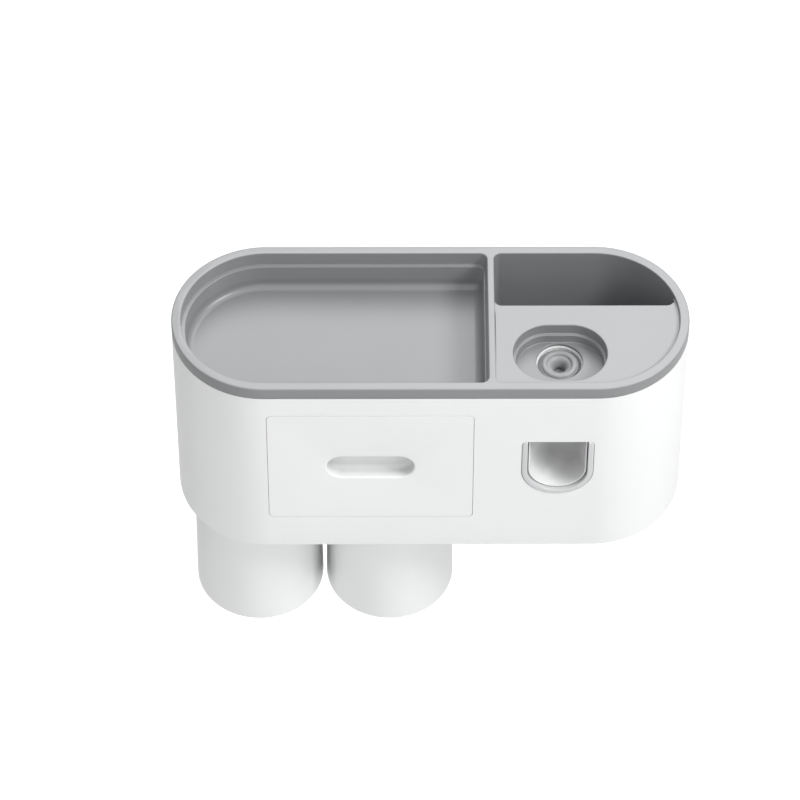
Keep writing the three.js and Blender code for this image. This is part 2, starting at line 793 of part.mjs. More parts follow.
function drawerFront() {
  const panel = frontPrism(
    roundedRectangle(drawerWidth, drawerHeight, panelCorner, drawerX, drawerZ), frontFace, panelRear,
  );
  const scoopBack = frontFace + scoopDepth;
  const bowlFront = frontFace + panelThickness / 2;
  const bowl = frontPrism(
    scoopOutline(-scoopWall), bowlFront, scoopBack + scoopWall, { rearEdge: scoopFillet },
  );
  const hollow = frontPrism(scoopOutline(0), frontFace - through, scoopBack, { rearEdge: scoopFillet });
  const bosses = panelBosses.map(([x, z]) =>
    frontRod(panelBossRadius, x, z, panelRear - panelThickness / 2, boxWallRear, screwSegments));
  const pilots = panelBosses.map(([x, z]) =>
    frontRod(pilotRadius, x, z, boxWallRear - shortScrewLength, boxWallRear + through, screwSegments));
  return cut(joined(panel, bowl, ...bosses), hollow, ...pilots);
}

function drawerBox() {
  const boxY = (boxFront + boxRear) / 2;
  const outline = roundedRectangle(boxWidth, boxDepth, boxCorner, drawerX, boxY);
  const inner = roundedRectangle(
    boxWidth - 2 * boxWall, boxDepth - 2 * boxWall, boxCorner - boxWall, drawerX, boxY,
  );
  const outer = prism(outline, boxBottom, boxTop);
  const hollow = prism(inner, boxBottom + boxWall, boxTop + through, { bottom: boxFillet });
  const runners = [-1, 1].map((side) => {
    const x = drawerX + side * (boxWidth / 2 - runnerInset);
    return block(
      x - runnerWidth / 2, x + runnerWidth / 2, boxFront + boxCorner, boxRear - boxCorner,
      boxBottom - runnerHeight, boxBottom + boxWall / 2,
    );
  });
  const bossHoles = panelBosses.map(([x, z]) =>
    frontRod(panelBossRadius + seatGap, x, z, boxFront - through, boxWallRear + through, screwSegments));
  const bowlHole = frontPrism(scoopOutline(-scoopWall - seatGap), boxFront - through, boxWallRear + through);
  return cut(joined(outer, ...runners), hollow, bowlHole, ...bossHoles);
}

function drawerBay() {
  const floor = block(
    drawerX - bayOuterHalf, drawerX + bayOuterHalf, bayFrontY, bayRearY, bayFloorBottom, bayFloorTop,
  );
  const sides = [-1, 1].map((side) => {
    const edges = [drawerX + side * bayInnerHalf, drawerX + side * bayOuterHalf].sort((a, b) => a - b);
    return block(edges[0], edges[1], bayFrontY, bayRearY, bayFloorBottom, bayTop);
  });
  const rear = block(
    drawerX - bayOuterHalf, drawerX + bayOuterHalf, bayInnerRear, bayRearY, bayFloorBottom, bayTop,
  );
  const ears = bayEars.map(([x, y]) => {
    const side = Math.sign(x - drawerX);
    const edges = [drawerX + side * (bayOuterHalf - bayWall / 2), x].sort((a, b) => a - b);
    const web = block(edges[0], edges[1], y - bayEarRadius, y + bayEarRadius, bayEarBottom, bayEarTop);
    return joined(web, rod(bayEarRadius, x, y, bayEarBottom, bayEarTop, screwSegments));
  });
  const holes = bayEars.map(([x, y]) =>
    rod(pilotRadius, x, y, bayEarBottom - through, bayEarTop + through, screwSegments));
  return cut(joined(floor, ...sides, rear, ...ears), ...holes);
}

// Magnets and cups
function magnetCap(x) {
  const roof = floorTop + magnetThickness + seatGap;
  const skirtEnd = roof - capSkirt;
  const profile = [
    [0, roof],
    [magnetCapInner, roof],
    [magnetCapInner, skirtEnd],
    [magnetCapOuter, skirtEnd],
    [magnetCapOuter, roof + capThickness],
    [0, roof + capThickness],
  ];
  return turned(profile, x, midY);
}

const cupTop = underside - seatGap;
const cupMouthZ = cupTop - cupHeight;
const keeperTop = cupTop - cupCoverThickness - seatGap;
const coverRadius = keeperRadius + cupCoverLap;

// Cup hanging mouth down: base at the top with a round pocket for the keeper and its cover
function cup(x) {
  const taper = (cupMouthRadius - cupBaseRadius) / cupHeight;
  const radiusAt = (z) => cupBaseRadius + (cupTop - z) * taper;
  const pocketFloor = keeperTop - keeperThickness - seatGap;
  const ceiling = cupTop - cupBaseThickness;
  const pocketRadius = coverRadius + seatGap;
  const lip = cupMouthZ + cupLipRadius;
  const profile = [
    [0, pocketFloor],
    [pocketRadius, pocketFloor],
    [pocketRadius, cupTop],
    [cupBaseRadius - cupBaseFillet, cupTop],
    [cupBaseRadius - cupBaseFillet * (1 - Math.SQRT1_2), cupTop - cupBaseFillet * (1 - Math.SQRT1_2)],
    [radiusAt(cupTop - cupBaseFillet), cupTop - cupBaseFillet],
    [radiusAt(lip), lip],
    [cupMouthRadius - cupLipRadius, cupMouthZ],
    [cupMouthRadius - cupWall, lip],
    [radiusAt(ceiling - cupBaseFillet) - cupWall, ceiling - cupBaseFillet],
    [radiusAt(ceiling) - cupWall - cupBaseFillet, ceiling],
    [0, ceiling],
  ];
  return turned(profile, x, midY, cupSegments);
}

// Brush rack
const brushXs = Array.from({ length: brushCount }, (_, index) =>
  rackX + (index - (brushCount - 1) / 2) * brushPitch);

function brushRack() {
  const plug = roundedRectangle(rackLength, rackWidth, rackCorner, rackX, rackY);
  const flange = roundedRectangle(
    rackLength + 2 * rackFlange, rackWidth + 2 * rackFlange, rackCorner + rackFlange, rackX, rackY,
  );
  const plate = joined(
    prism(plug, underside, rackFlangeTop),
    prism(flange, floorTop + seatGap, rackFlangeTop),
  );
  const frontEnd = rackY - rackWidth / 2 + brushEntryEnd;
  const rearEnd = rackY + rackWidth / 2 - brushSlotEnd;
  const keyholes = brushXs.map((x) => {
    const entry = roundedRectangle(
      brushEntryWidth, brushEntryLength, brushSlotWidth / 2, x, frontEnd + brushEntryLength / 2,
    );
    const slotLength = rearEnd - frontEnd;
    const slot = roundedRectangle(
      brushSlotWidth, slotLength, brushSlotWidth / 2 - through / 2, x, frontEnd + slotLength / 2,
    );
    return joined(
      prism(entry, underside - through, rackFlangeTop + through),
      prism(slot, underside - through, rackFlangeTop + through),
    );
  });
  return cut(plate, ...keyholes);
}

function brushCover() {
  const outline = (grow) => roundedRectangle(
    rackLength + 2 * grow, rackWidth + 2 * grow, rackCorner + grow, rackX, rackY,
  );
  const top = mouthMidZ - flangeScrewZ - flangeMargin - coverRoom;
  const shell = cut(
    joined(
      prism(outline(0), coverFlangeBottom, top),
      prism(outline(rackFlange), coverFlangeBottom, coverFlangeTop),
    ),
    prism(outline(-coverWall), coverFlangeBottom - through, top - coverWall),
  );
  const ears = coverEars.map(({ x, y, toX, toY }) => {
    const run = coverEarReach + rackFlange / 2;
    const half = coverEarRadius;
    const web = block(
      Math.min(x - half * Math.abs(toY), x + run * toX), Math.max(x + half * Math.abs(toY), x),
      Math.min(y - half * Math.abs(toX), y + run * toY), Math.max(y + half * Math.abs(toX), y),
      coverFlangeBottom, coverFlangeTop,
    );
    return joined(web, rod(coverEarRadius, x, y, coverFlangeBottom, coverFlangeTop, screwSegments));
  });
  const holes = coverEars.map(({ x, y }) =>
    rod(pilotRadius, x, y, coverFlangeBottom - through, coverFlangeTop + through, screwSegments));
  return cut(joined(shell, ...ears), ...holes);
}

// Trim round the sides and the bottom of the mouth, open at the top
function mouthBezel() {
  const front = frontFace - bezelProud;
  return cut(
    frontPrism(mouthOutline(0), front, innerFront, { frontEdge: bezelFillet }),
    frontPrism(mouthOutline(bezelWidth, -through), front - through, innerFront + through),
  );
}

function pumpBody() {
  const tunnelFrontY = innerFront + seatGap;
  const flange = roundedRectangle(
    2 * (flangeScrewX + flangeMargin), 2 * (flangeScrewZ + flangeMargin), flangeMargin, mouthX, mouthMidZ,
  );
  const gallery = roundedRectangle(galleryWidth, galleryHeight, galleryCorner, mouthX, galleryZ);
  const galleryFrontY = frontFace + galleryStart;
  const earFrontY = tunnelRearY - backEarLength;
  const earPilotY = tunnelRearY - backEarLength / 2 - pilotSpare;
  const cupRadius = seatRadius + seatGap;
  const solid = joined(
    frontPrism(mouthOutline(bezelWidth - tunnelWall, -tunnelWall), tunnelFrontY, tunnelRearY),
    frontPrism(flange, flangeFrontY, flangeRearY),
    frontPrism(gallery, galleryFrontY, tunnelRearY),
    turned(
      [
        [0, galleryZ],
        [galleryWidth / 2, galleryZ],
        [galleryWidth / 2, galleryTop],
        [cupRadius + inletCupWall, inletCupBottom],
        [cupRadius + inletCupWall, inletCupTop],
        [0, inletCupTop],
      ],
      mouthX, inletY,
    ),
    ...backEars.map(([x, z]) => frontRod(postRadius, x, z, earFrontY, tunnelRearY, screwSegments)),
  );
  return cut(
    solid,
    frontPrism(mouthOutline(bezelWidth, 0), tunnelFrontY - through, tunnelRearY + through),
    frontPrism(
      mouthOutline(bezelWidth - pusherFlangeLap, -pusherFlangeLap), shoulderY, tunnelRearY + through,
    ),
    rod(cupRadius, mouthX, inletY, inletCupTop - inletCupDepth, inletCupTop + through),
    rod(inletBore, mouthX, inletY, galleryZ, inletCupTop, screwSegments),
    frontRod(galleryBore, mouthX, galleryZ, nozzleY - galleryBore, tunnelRearY + through, screwSegments),
    rod(nozzleRadius + seatGap, mouthX, nozzleY, tunnelRoof - through, galleryZ, screwSegments),
    ...pumpScrews.map(([x, z]) =>
      frontRod(pilotRadius, x, z, flangeFrontY - through, flangeRearY + through, screwSegments)),
    ...backEars.map(([x, z]) =>
      frontRod(pilotRadius, x, z, earPilotY, tunnelRearY + through, screwSegments)),
  );
}

// Plate behind the pump tunnel, with the channel that leads from the gallery to the bellows
function pumpBack() {
  const half = tunnelHalf + backEarReach + postRadius;
  const bottom = mouthRoundZ - tunnelHalf - backMargin;
  const height = galleryTop - bottom;
  const outline = roundedRectangle(2 * half, height, backMargin, mouthX, bottom + height / 2);
  const channel = block(
    mouthX - galleryBore, mouthX + galleryBore, backFrontY - through, backFrontY + backChannelDepth,
    mouthRoundZ - galleryBore, galleryZ + galleryBore,
  );
  const holes = backEars.map(([x, z]) =>
    frontRod(pilotRadius, x, z, backFrontY - through, backRearY + through, screwSegments));
  return cut(frontPrism(outline, backFrontY, backRearY), channel, ...holes);
}

// Push piece with an upright brush niche, open at the top and rounded below
function pusher() {
  const side = bezelWidth + slideGap;
  const flange = mouthOutline(side - pusherFlangeLap, slideGap - pusherFlangeLap);
  const radius = mouthWidth / 2 - side - nicheWall;
  const top = rimTop - mouthDrop;
  const outer = joined(
    frontPrism(mouthOutline(side, slideGap), pusherFrontY, pusherRearY, { frontEdge: pusherFillet }),
    frontPrism(flange, pusherRearY - pusherFlange, pusherRearY),
  );
  const ballSteps = turnSegments / 4;
  const bowl = Array.from({ length: ballSteps }, (_, step) => {
    const angle = -Math.PI / 2 + (step / ballSteps) * (Math.PI / 2);
    return [radius * Math.cos(angle), mouthRoundZ + radius * Math.sin(angle)];
  });
  bowl[0][0] = 0;
  const profile = [...bowl, [radius, mouthRoundZ], [radius, top], [0, top]];
  const niche = turned(profile, mouthX, pusherFrontY, cupSegments);
  const limit = block(
    mouthX - reach, mouthX + reach, pusherFrontY - reach, pusherFrontY + nicheDepth, mouthRoundZ - reach, top,
  );
  return cut(outer, niche.intersect(limit));
}

// Silicone bellows, closed at the pusher and open at the back plate
function bellows() {
  const front = pusherRearY + seatGap;
  const rear = front + bellowsLength;
  const pitch = (bellowsLength - 2 * bellowsWall) / (2 * bellowsRibs);
  const folds = Array.from({ length: 2 * bellowsRibs + 1 }, (_, index) => [
    index % 2 === 0 ? bellowsInner : bellowsOuter,
    front + bellowsWall + index * pitch,
  ]);
  const inside = folds.map(([radius, y]) => [radius - bellowsWall, y]).reverse();
  const profile = [
    [0, front],
    [bellowsInner, front],
    ...folds,
    [bellowsInner, rear],
    [bellowsInner - bellowsWall, rear],
    ...inside,
    [0, front + bellowsWall],
  ];
  return turnedFront(profile, mouthX, mouthRoundZ, bellowsSegments);
}

class SpringCurve extends THREE.Curve {
  getPoint(share, target = new THREE.Vector3()) {
    const front = pusherRearY + seatGap + springWire;
    const rear = tunnelRearY - seatGap - springWire;
    const angle = 2 * Math.PI * springTurns * share;
    return target.set(
      mouthX + springRadius * Math.cos(angle),
      front + (rear - front) * share,
      mouthRoundZ + springRadius * Math.sin(angle),
    );
  }
}

function returnSpring() {
  const section = outlineOf(arc(0, 0, springWire, 0, 2 * Math.PI, springSides));
  return solidOf(new THREE.ExtrudeGeometry(section, {
    steps: springTurns * springSteps,
    extrudePath: new SpringCurve(),
  }));
}

// Soft seat for the tube's neck: a ring that rises to a crest, and a bowl with a bore inside it
function inletSeat() {
  const bottom = seatTop - seatDepth;
  const bowl = Array.from({ length: bowlSegments }, (_, step) => {
    const angle = ((step + 1) / bowlSegments) * quarter;
    return [
      seatBore + (dishRadius - seatBore) * Math.cos(angle),
      seatTop - dishDepth * Math.sin(angle),
    ];
  });
  const profile = [
    [seatRadius, bottom],
    [seatRadius, seatTop - seatEdge],
    [seatRadius - seatEdge, seatTop],
    [dishRadius + dishBead, seatTop + dishBead],
    [dishRadius, seatTop],
    ...bowl,
    [seatBore, bottom],
    [seatRadius, bottom],
  ];
  return turned(profile, mouthX, inletY);
}

function inletValve() {
  const bottom = inletCupTop - inletCupDepth + seatGap;
  const top = bottom + valveThickness;
  const disc = rod(seatRadius, mouthX, inletY, bottom, top);
  const slit = cut(
    rod(valveFlap + valveSlit, mouthX, inletY, bottom - through, top + through),
    rod(valveFlap, mouthX, inletY, bottom - 2 * through, top + 2 * through),
    block(
      mouthX - valveHinge / 2, mouthX + valveHinge / 2, inletY, inletY + seatRadius,
      bottom - 2 * through, top + 2 * through,
    ),
  );
  return cut(disc, slit);
}

function outletNozzle() {
  const flangeTop = tunnelRoof - seatGap;
  const flangeBottom = flangeTop - nozzleFlange;
  const tip = flangeBottom - nozzleDrop;
  const top = tunnelRoof + tunnelWall;
  const profile = [
    [nozzleBore, tip],
    [nozzleTipRadius, tip],
    [nozzleRadius, flangeBottom],
    [nozzleFlangeRadius, flangeBottom],
    [nozzleFlangeRadius, flangeTop],
    [nozzleRadius, flangeTop],
    [nozzleRadius, top],
    [nozzleBore, top],
    [nozzleBore, tip],
  ];
  return turned(profile, mouthX, nozzleY, turnSegments / 2);
}

// Assembly
addPiece("adhesive_sheet", adhesiveSheet(), finishes.adhesive);
addPiece("wall_bracket", wallBracket(), finishes.bracket);
addPiece("body_shell", bodyShell(), finishes.whiteAbs);
addPiece("base_plate", basePlate(), finishes.whiteAbs);
addPiece("top_tray", topTray(), finishes.greyAbs);
addPiece("drawer_front", drawerFront(), finishes.whiteAbs);
addPiece("drawer_box", drawerBox(), finishes.innerAbs);
addPiece("drawer_bay", drawerBay(), finishes.innerAbs);
addPiece("brush_rack", brushRack(), finishes.greyAbs);
addPiece("brush_cover", brushCover(), finishes.innerAbs);
addPiece("mouth_bezel", mouthBezel(), finishes.bezel);
addPiece("pump_body", pumpBody(), finishes.innerAbs);
addPiece("pump_back", pumpBack(), finishes.innerAbs);
addPiece("pusher", pusher(), finishes.whiteAbs);
addPiece("bellows", bellows(), finishes.silicone);
addPiece("return_spring", returnSpring(), finishes.steel);
addPiece("inlet_seat", inletSeat(), finishes.silicone);
addPiece("inlet_valve", inletValve(), finishes.silicone);
addPiece("outlet_nozzle", outletNozzle(), finishes.silicone);

panelBosses.forEach(([x, z], index) => {
  const solid = frontScrew(x, z, boxWallRear + seatGap, shortScrewLength - pilotSpare);
  addPiece(`drawer_screw_${index + 1}`, solid, finishes.steel);
});
bayEars.forEach(([x, y], index) => {
  addPiece(`bay_screw_${index + 1}`, screw(x, y, bayEarTop + seatGap, screwLength), finishes.steel);
});
coverEars.forEach(({ x, y }, index) => {
  const solid = screw(x, y, coverFlangeTop + seatGap, coverScrewLength);
  addPiece(`cover_screw_${index + 1}`, solid, finishes.steel);
});
baseScrews.forEach(([x, y], index) => {
  const solid = upwardScrew(x, y, underside + screwHeadHeight, screwLength);
  addPiece(`base_screw_${index + 1}`, solid, finishes.steel);
});
pumpScrews.forEach(([x, z], index) => {
  const solid = frontScrew(x, z, flangeRearY + seatGap, shortScrewLength);
  addPiece(`pump_screw_${index + 1}`, solid, finishes.steel);
});
backEars.forEach(([x, z], index) => {
  const solid = frontScrew(x, z, backRearY + seatGap, backThickness + backEarLength / 2);
  addPiece(`back_screw_${index + 1}`, solid, finishes.steel);
});

Object.entries(cupXs).forEach(([side, x]) => {
  const keeperBottom = keeperTop - keeperThickness;
  const magnet = rod(magnetRadius, x, midY, floorTop + seatGap, floorTop + magnetThickness);
  addPiece(`magnet_${side}`, magnet, finishes.magnet);
  addPiece(`magnet_cap_${side}`, magnetCap(x), finishes.innerAbs);
  addPiece(`cup_${side}`, cup(x), finishes.whiteAbs);
  addPiece(`cup_keeper_${side}`, rod(keeperRadius, x, midY, keeperBottom, keeperTop), finishes.steel);
  addPiece(`cup_cover_${side}`, rod(coverRadius, x, midY, keeperTop + seatGap, cupTop), finishes.innerAbs);
});

export default holder;
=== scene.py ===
import math

import bmesh
import bpy
from bpy.props import FloatProperty, FloatVectorProperty, IntProperty, PointerProperty
from mathutils import Matrix, Vector


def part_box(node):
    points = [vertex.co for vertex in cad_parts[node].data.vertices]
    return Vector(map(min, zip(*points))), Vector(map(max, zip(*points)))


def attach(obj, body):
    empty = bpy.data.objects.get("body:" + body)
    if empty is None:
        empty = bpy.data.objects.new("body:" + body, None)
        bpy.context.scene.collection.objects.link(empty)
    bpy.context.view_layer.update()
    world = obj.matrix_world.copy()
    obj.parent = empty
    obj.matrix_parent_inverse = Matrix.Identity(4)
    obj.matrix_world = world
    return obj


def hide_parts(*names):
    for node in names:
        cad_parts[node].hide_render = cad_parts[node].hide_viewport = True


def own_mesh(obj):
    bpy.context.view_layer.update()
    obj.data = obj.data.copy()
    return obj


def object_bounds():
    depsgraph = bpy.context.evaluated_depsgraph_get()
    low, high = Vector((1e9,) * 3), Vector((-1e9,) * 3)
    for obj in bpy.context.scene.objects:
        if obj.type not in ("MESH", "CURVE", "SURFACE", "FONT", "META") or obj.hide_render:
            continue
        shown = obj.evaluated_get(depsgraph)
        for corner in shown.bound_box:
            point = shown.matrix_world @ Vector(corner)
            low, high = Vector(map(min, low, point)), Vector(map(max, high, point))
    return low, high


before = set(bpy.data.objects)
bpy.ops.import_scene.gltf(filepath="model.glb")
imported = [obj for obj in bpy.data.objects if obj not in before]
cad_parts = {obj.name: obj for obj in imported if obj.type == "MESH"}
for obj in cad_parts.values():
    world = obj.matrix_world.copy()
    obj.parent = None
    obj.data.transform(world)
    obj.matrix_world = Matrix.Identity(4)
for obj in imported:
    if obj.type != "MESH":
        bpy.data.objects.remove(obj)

CAD_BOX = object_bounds()

bl_info = {
    "name": "Toothbrush Holder",
    "version": (1, 0, 0),
    "blender": (4, 5, 0),
    "location": "View3D > Sidebar > Holder",
    "description": "Dresses a wall-mounted toothbrush holder with fine mouldings, finishes and a studio",
    "category": "Object",
}

# Faces and places read from the frame, in metres
TRAY_LOW, TRAY_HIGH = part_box("top_tray")
SHELL_LOW, SHELL_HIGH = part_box("body_shell")
PANEL_LOW, PANEL_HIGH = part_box("drawer_front")
BIN_LOW, BIN_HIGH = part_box("drawer_box")
TRIM_LOW, TRIM_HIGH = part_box("mouth_bezel")
PUSHER_LOW, PUSHER_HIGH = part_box("pusher")
SEAT_LOW, SEAT_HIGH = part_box("inlet_seat")
BELLOWS_LOW, BELLOWS_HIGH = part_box("bellows")
SPRING_LOW, SPRING_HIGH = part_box("return_spring")
FRONT = TRAY_LOW.y
REAR = TRAY_HIGH.y
MID_Y = (FRONT + REAR) / 2
END_RADIUS = (REAR - FRONT) / 2
END_X = TRAY_HIGH.x - END_RADIUS
RIM_TOP = TRAY_HIGH.z
SHELL_TOP = SHELL_HIGH.z
UNDERSIDE = SHELL_LOW.z
TRIM_X = (TRIM_LOW.x + TRIM_HIGH.x) / 2
SEAT_X = (SEAT_LOW.x + SEAT_HIGH.x) / 2
SEAT_Y = (SEAT_LOW.y + SEAT_HIGH.y) / 2

QUARTER = math.pi / 2
FAR = 1  # a metre, well past the object
PAST = 0.001  # how far a cutting form runs past a face
LEAST_CORNER = 0.001  # smallest corner that an outline keeps when it is drawn in
POST_ROOT = 0.7  # share of the wall's thickness at which a pump post starts
SAME_POINT = 1e-6  # points that are nearer are one
SLIVER = 5e-6  # what is narrower goes after a cut
WELD = 1e-5  # points of a node that are nearer are joined before its edges are rounded
FLAT = math.radians(0.1)  # faces that meet at less are joined
SHARP = math.radians(38)  # edges that turn by more are rounded
EDGE_STEPS = 3  # steps in an edge that is rounded last
NOISE_RANGE = (0.3, 0.7)  # where most of a noise lies
FLOOR_SHADE_RISE = (1.75, 0.5)  # heights, in fillets, at which the painted shade on the pan floor starts and is full
SHADE_FACING_UP = (0.6, 0.9)  # upward share of a face's direction at which the painted shade on low floors starts and is full
UPRIGHT = Matrix.Identity(4)
FRONTWARD = Matrix(((1, 0, 0, 0), (0, 0, 1, 0), (0, 1, 0, 0), (0, 0, 0, 1)))

# Place, width and height of each light panel, in metres
PANELS = {
    "top": ((0, -0.09, 1.74), 1.1, 1.1),
    "right": ((1.1, -0.54, 1.28), 0.5, 0.5),
    "rear": ((0.25, 0.89, 1.45), 1.4, 1.1),
    "front": ((0, -1.85, -0.1), 1.1, 1.1),
    "high": ((0, -1.43, 1.1), 1.1, 1.1),
}


def length(name, text, default):
    """Property of a size in metres."""
    return FloatProperty(
        name=name, description=text, default=default, precision=5, unit="LENGTH", subtype="DISTANCE"
    )


def colour(name, text, default):
    """Property of a linear colour."""
    return FloatVectorProperty(
        name=name, description=text, default=default, size=3, min=0, max=1, subtype="COLOR"
    )


def share(name, text, default):
    """Property from nought to one."""
    return FloatProperty(name=name, description=text, default=default, min=0, max=1, subtype="FACTOR")


def power(name, text, default):
    """Property of a light's power in watts."""
    return FloatProperty(name=name, description=text, default=default, subtype="POWER")


def count(name, text, default):
    """Property of a whole number."""
    return IntProperty(name=name, description=text, default=default)


class HolderFacets(bpy.types.PropertyGroup):
    """How finely round forms are divided"""

    ends: count("Round ends", "Steps in each round end of the body", 72)
    corners: count("Corners", "Steps in a small corner", 8)
    edges: count("Edges", "Steps in a rounded edge", 6)
    fillets: count("Fillets", "Steps in the fillet at a basin's floor", 8)
    bowl: count("Bowl", "Steps in the fillet of the bowl behind the finger recess", 10)
    scoop: count("Scoop", "Steps in the fillet at the back of the finger recess", 12)
    turns: count("Turned forms", "Steps round a turned form", 96)
    hole: count("Seat hole", "Steps round the hole over the tube seat", 64)
    cups: count("Cups", "Steps round a cup", 128)
    soft: count("Soft edges", "Steps in the rounded edge of a silicone piece", 5)
    funnel: count("Funnel", "Steps in the seat's funnel", 14)
    fold: count("Fold", "Steps in a fold of the bellows", 12)
    coil: count("Coil", "Steps in a turn of the spring", 36)
    wire: count("Wire", "Sides of the spring's wire", 10)


class BodySizes(bpy.types.PropertyGroup):
    """Casing, base and the sockets behind"""

    wall: length("Wall", "Thickness of the casing", 0.0026)
    foot_fillet: length("Foot fillet", "Rounding of the casing's lower edge", 0.0015)
    edge: length("Edge", "Rounding of the casing's other edges", 0.0002)
    panel_gap: length("Panel gap", "Shadow line round the drawer front", 0.00015)
    seat_gap: length("Seat gap", "Gap between pieces that rest on each other", 0.0003)
    socket_spacing: length("Socket spacing", "Between the two hook sockets", 0.09)
    socket_width: length("Socket width", "Outer width of a hook socket", 0.0348)
    socket_corner: length("Socket corner", "Corner of a hook socket", 0.002)
    socket_top: length("Socket top", "Top of a socket above the bracket's middle", 0.0168)
    socket_foot: length("Socket foot", "Lower end of a socket below the bracket's middle", 0.013)
    slot_half: length("Slot half width", "Half the width of the slot for the tongue's head", 0.0144)
    slot_mouth: length("Slot mouth", "Half the width of the slot for the tongue's stem", 0.0104)
    slot_top: length("Slot top", "Top of the slot above the bracket's middle", 0.0133)
    lip: length("Socket lip", "Thickness of a socket's lips", 0.0016)
    base: length("Base", "Thickness of the base that closes the casing", 0.0028)
    post: length("Post", "Radius of a screw post", 0.004)
    pilot: length("Pilot hole", "Radius of a screw hole", 0.0016)
    base_post: length("Base post", "Height of the posts over the base", 0.01)
    base_pilot: length("Base pilot", "Depth of the holes in the base posts", 0.008)
    base_post_inset: length("Base post inset", "Casing's outside to the middle of a base post", 0.0056)
    pump_post: length("Pump post", "Length of the posts behind the casing's front", 0.0054)
    pump_pilot: length("Pump pilot", "Depth of the holes in the pump posts", 0.00324)
    pump_post_x: length("Pump post spread", "Mouth's middle to a pump post sideways", 0.026)
    pump_post_z: length("Pump post rise", "Mouth's middle to a pump post upwards", 0.023)


class TraySizes(bpy.types.PropertyGroup):
    """Grey top moulding"""

    band: length("Band", "Height of the rim's outer band", 0.0075)
    rim: length("Rim", "Width of the rim seen from above", 0.005)
    rim_fillet: length("Rim fillet", "Rounding of the rim's outer edge", 0.0008)
    wall: length("Wall", "Thickness of the tray's walls", 0.002)
    edge: length("Edge", "Rounding of the tray's other edges", 0.0006)
    root: length("Ledge root", "Rounding where the pan's ledge meets its wall", 0.00015)
    hair: share("Ledge at divider", "Share of the ledge that is left along the divider", 0.05)
    ledge_edge: length("Ledge edge", "Rounding of the ledge's edge", 0.00035)
    corner: length("Corner", "Upright corners at the divider", 0.004)
    divider_inset: length("Divider inset", "Right end to the divider's left face", 0.1057)
    divider: length("Divider", "Thickness of the divider", 0.0035)
    pan_depth: length("Pan depth", "Rim to the pan's floor", 0.024)
    ledge_depth: length("Ledge depth", "Rim to the pan's ledge", 0.0087)
    ledge: length("Ledge", "Width of the ledge along the pan's outer sides", 0.002)
    pan_fillet: length("Pan fillet", "Rounding at the pan's floor", 0.004)
    pan_lean: length("Pan lean", "How far the pan's wall leans in at the divider", 0.003)
    deck_depth: length("Deck depth", "Rim to the deck", 0.0025)
    deck: length("Deck", "Thickness of the deck", 0.0022)
    deck_reach: length("Deck reach", "Front to the deck's rear edge", 0.0596)
    well_fillet: length("Well fillet", "Rounding at the well's floor", 0.003)
    recess_length: length("Recess length", "Length of the tube recess", 0.0491)
    recess_width: length("Recess width", "Width of the tube recess", 0.0376)
    recess_setback: length("Recess setback", "Front to the middle of the tube recess", 0.027)
    recess_step: length("Recess step", "Deck to the recess's step", 0.0067)
    recess_depth: length("Recess depth", "Deck to the recess's floor", 0.0123)
    recess_ledge: length("Recess ledge", "Width of the recess's step", 0.0015)
    recess_fillet: length("Recess fillet", "Rounding at the recess's floor", 0.0006)
    seat_hole: length("Seat hole", "Radius of the hole over the tube seat", 0.0121)


class DrawerSizes(bpy.types.PropertyGroup):
    """Drawer front and bin"""

    corner: length("Panel corner", "Corner of the drawer front", 0.003)
    panel: length("Panel", "Thickness of the drawer front", 0.003)
    scoop_length: length("Scoop length", "Length of the finger recess", 0.0462)
    scoop_height: length("Scoop height", "Height of the finger recess", 0.0174)
    scoop_depth: length("Scoop depth", "Depth of the finger recess", 0.0075)
    scoop_fillet: length("Scoop fillet", "Rounding at the back of the finger recess", 0.003)
    scoop_lip: length("Scoop lip", "Rounding of the finger recess's edge", 0.0009)
    scoop_wall: length("Scoop wall", "Thickness of the bowl behind the finger recess", 0.002)
    wall: length("Bin wall", "Thickness of the bin", 0.002)
    bin_corner: length("Bin corner", "Upright corner of the bin", 0.005)
    bin_fillet: length("Bin fillet", "Rounding at the bin's floor", 0.002)
    runner: length("Runner", "Height of the runners under the bin", 0.0012)
    runner_half: length("Runner half width", "Half the width of a runner", 0.002)
    runner_inset: length("Runner inset", "Bin side to the middle of a runner", 0.012)
    boss: length("Boss", "Radius of a screw boss", 0.004)
    boss_pilot: length("Boss pilot", "Depth of the hole in a screw boss", 0.004)
    boss_inset: length("Boss inset", "Bin edge to the middle of a boss", 0.014)
    edge: length("Edge", "Rounding of the panel's edges", 0.0002)


class CupSizes(bpy.types.PropertyGroup):
    """Rinsing cups"""

    base_radius: length("Base radius", "Radius at the closed end", 0.0342)
    wall: length("Wall", "Thickness of a cup", 0.0019)
    base: length("Base", "Thickness of the closed end", 0.005)
    fillet: length("Fillet", "Rounding of the closed end", 0.003)
    lip: length("Lip", "Radius of the lip", 0.0009)
    pocket_radius: length("Pocket radius", "Radius of the pocket for the keeper", 0.0223)
    pocket_depth: length("Pocket depth", "Depth of the pocket for the keeper", 0.0033)
    edge: length("Edge", "Rounding of a cup's other edges", 0.0003)


